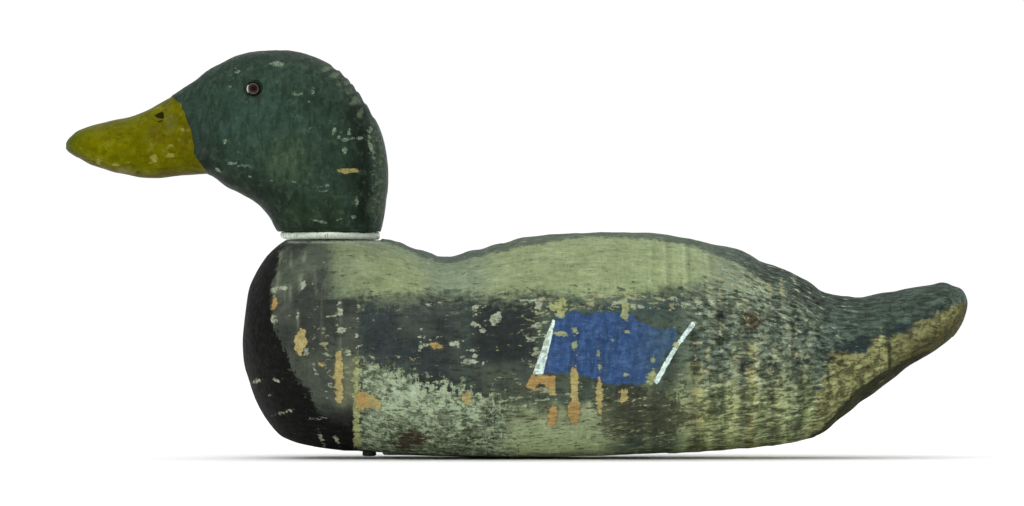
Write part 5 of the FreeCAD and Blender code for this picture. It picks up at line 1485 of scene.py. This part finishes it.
def eye_material(side):
    """Red-brown iris, black pupil, dark rim, glossy."""
    m = Nodes("eye_glass_" + side)
    e, l = EYE[side], LOOK[side]
    # distance from the eye's own axis, in millimetres
    rel = m.new("ShaderNodeVectorMath")
    rel.operation = "MULTIPLY_ADD"
    m.link(m.where, rel.inputs[0])
    rel.inputs[1].default_value = (1000, 1000, 1000)
    rel.inputs[2].default_value = tuple(-e)
    cr = m.new("ShaderNodeVectorMath")
    cr.operation = "CROSS_PRODUCT"
    m.link(rel.outputs[0], cr.inputs[0])
    cr.inputs[1].default_value = tuple(l)
    ln = m.new("ShaderNodeVectorMath")
    ln.operation = "LENGTH"
    m.link(cr.outputs[0], ln.inputs[0])
    r = ln.outputs["Value"]
    v = m.stretch(1, 1, 1)
    n = m.noise(v, 1.6, 4, 0.6)
    rn = m.add(r, m.mul(m.sub(n, 0.5), 0.35))
    iris = m.mix(m.ramp(n, 0.35, 0.65), screen(66, 26, 32), screen(44, 16, 22))
    iris = m.mix(m.mul(m.ramp(m.noise(m.stretch(3, 3, 3), 1.0, 3), 0.5, 0.7), 0.45), iris, screen(104, 54, 58))
    col = m.mix(m.ramp(rn, 0.95, 1.35), screen(14, 6, 8), iris)
    col = m.mix(m.ramp(rn, 1.95, 2.25), col, screen(78, 86, 76))
    col = m.mix(m.ramp(rn, 2.45, 2.85), col, screen(34, 34, 30))
    col = m.mix(m.ramp(rn, 3.0, 3.3), col, screen(10, 12, 10))
    # a pale crescent on the front edge of the glass: a painted reflection
    split = m.new("ShaderNodeSeparateXYZ")
    m.link(rel.outputs[0], split.inputs[0])
    painted_reflection = m.mul(m.ramp(rn, 2.35, 2.6), m.ramp(rn, 3.25, 3.0))
    painted_reflection = m.mul(painted_reflection, m.ramp(m.add(split.outputs["X"], m.mul(m.sub(n, 0.5), 1.5)), -2.1, -2.4))
    col = m.mix(m.mul(painted_reflection, 0.9), col, screen(196, 204, 186))
    m.feed(m.bsdf.inputs["Base Color"], col)
    m.feed(m.bsdf.inputs["Roughness"], m.ramp(n, 0.3, 0.7, 0.10, 0.2))
    m.bsdf.inputs["Coat Weight"].default_value = 0.0
    m.bsdf.inputs["Coat Roughness"].default_value = 0.06
    m.bsdf.inputs["Specular IOR Level"].default_value = 0.05
    m.feed(m.bsdf.inputs["Normal"], m.bump(n, 0.08, 0.05))
    return m.mat


def putty_material():
    m = Nodes("putty")
    v = m.stretch(1, 1, 1)
    n1, n2 = m.noise(v, 0.9, 4, 0.6), m.noise(v, 2.5, 4, 0.6)
    col = m.mix(m.ramp(n1, 0.35, 0.65), screen(42, 58, 46), screen(28, 40, 32))
    col = m.mix(m.mul(m.ramp(n2, 0.60, 0.72), 0.6), col, screen(70, 82, 64))
    m.feed(m.bsdf.inputs["Base Color"], col)
    m.feed(m.bsdf.inputs["Roughness"], m.ramp(n1, 0.3, 0.7, 0.5, 0.75))
    m.bsdf.inputs["Specular IOR Level"].default_value = 0.08
    m.feed(m.bsdf.inputs["Normal"], m.bump(m.add(n1, m.mul(n2, 0.5)), 0.6, 0.3))
    return m.mat


def wear(ob, mat):
    ob.data.materials.clear()
    ob.data.materials.append(mat)
    for poly in ob.data.polygons:
        poly.material_index = 0


def cad(node):
    return bpy.data.objects[node]


# ---------------------------------------------------------------------------
# Build
# ---------------------------------------------------------------------------
body = build_body()
paint_body(body)
wear(body, body_material())
body.name = "body_visual"
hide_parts("body")
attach(body, "hull")

head = build_head()
paint_head(head)
wear(head, head_material())
head.name = "head_visual"
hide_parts("head")
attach(head, "turning_head")

collar = build_collar()
wear(collar, collar_material())
collar.name = "collar_visual"
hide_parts("neck_collar")
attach(collar, "turning_head")

strap = build_strap()
wear(strap, leather_material())
strap.name = "strap_visual"
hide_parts("line_loop")
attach(strap, "hull")

plate = build_plate()
wear(plate, metal_material("sheet_lead", (112, 114, 116), (78, 80, 82), (132, 134, 128), 0.52, 0.75, 0.5))
plate.name = "plate_visual"
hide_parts("ballast_plate")
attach(plate, "hull")

nails = build_nails()
nails.name = "nails_visual"
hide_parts("ballast_nails")
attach(nails, "hull")

pine_up = wood_material("bare_wood_upright", (170, 142, 98), (146, 116, 74), (112, 84, 50), 2)
steel = metal_material("rusty_steel", (108, 104, 98), (70, 66, 62), (92, 54, 32), 0.45, 0.9, 0.9)
wear(cad("neck_dowel"), pine_up)
wear(cad("screw_plug"), pine_up)
wear(nails, steel)
for node in ("head_screw", "head_washer", "line_loop_tacks", "eye_pin_left", "eye_pin_right"):
    wear(cad(node), steel)
putty = putty_material()
for side in ("left", "right"):
    wear(cad("eye_putty_" + side), putty)
    wear(cad("eye_" + side), eye_material(side))
    shade_smooth(cad("eye_" + side), 45)


# ---------------------------------------------------------------------------
# Floor, light and camera
# ---------------------------------------------------------------------------
def plain(name, colour, rough):
    m = Nodes(name)
    v = m.stretch(0.02, 0.02, 0.02)
    n = m.noise(v, 1.0, 2)
    a, b = [tuple(c / GAIN for c in screen(*k)[:3]) + (1.0,) for k in (colour, [c - 1 for c in colour])]
    m.feed(m.bsdf.inputs["Base Color"], m.mix(m.ramp(n, 0.3, 0.7), a, b))
    m.feed(m.bsdf.inputs["Roughness"], rough)
    m.bsdf.inputs["Specular IOR Level"].default_value = 0.0
    return m.mat


me = bpy.data.meshes.new("floor")
ring = [(2.5 * math.cos(math.radians(a)), 2.5 * math.sin(math.radians(a)), -0.0004) for a in range(0, 360, 3)]
me.from_pydata(ring, [], [tuple(range(len(ring)))])
me.update()
floor = bpy.data.objects.new("floor", me)
bpy.context.scene.collection.objects.link(floor)
wear(floor, plain("floor_white", (252, 252, 252), 0.9))

scene = bpy.context.scene
world = bpy.data.worlds.new("studio")
scene.world = world
world.use_nodes = True
bg = world.node_tree.nodes["Background"]
bg.inputs["Color"].default_value = (1.0, 1.0, 1.0, 1.0)
# pale all round at the height of the horizon, softer overhead
way = world.node_tree.nodes.new("ShaderNodeTexCoord")
part = world.node_tree.nodes.new("ShaderNodeSeparateXYZ")
fade = world.node_tree.nodes.new("ShaderNodeMapRange")
world.node_tree.links.new(way.outputs["Generated"], part.inputs[0])
world.node_tree.links.new(part.outputs["Z"], fade.inputs["Value"])
fade.inputs["From Min"].default_value = 0.10
fade.inputs["From Max"].default_value = 0.22
fade.inputs["To Min"].default_value = WORLD_LOW
fade.inputs["To Max"].default_value = WORLD_HIGH
world.node_tree.links.new(fade.outputs[0], bg.inputs["Strength"])


def lamp(name, stands, wide, strength):
    d = bpy.data.lights.new(name, "SUN")
    d.angle = math.radians(wide)
    d.energy = strength
    o = bpy.data.objects.new(name, d)
    o.location = Vector(stands) * 2
    o.rotation_euler = Vector(stands).to_track_quat("Z", "Y").to_euler()
    scene.collection.objects.link(o)
    return o


for spec in LAMPS:
    lamp(*spec)

cam = bpy.data.cameras.new("camera")
cam.sensor_width = 36
cam.sensor_fit = "HORIZONTAL"
cam.lens = 367.73
cam.clip_end = 60
camera = bpy.data.objects.new("camera", cam)
camera.location = (-0.00215, -5.0, 0.0976)
camera.rotation_euler = (math.radians(90), 0, 0)
scene.collection.objects.link(camera)
scene.camera = camera
scene.view_settings.view_transform = "Standard"
scene.view_settings.look = "None"
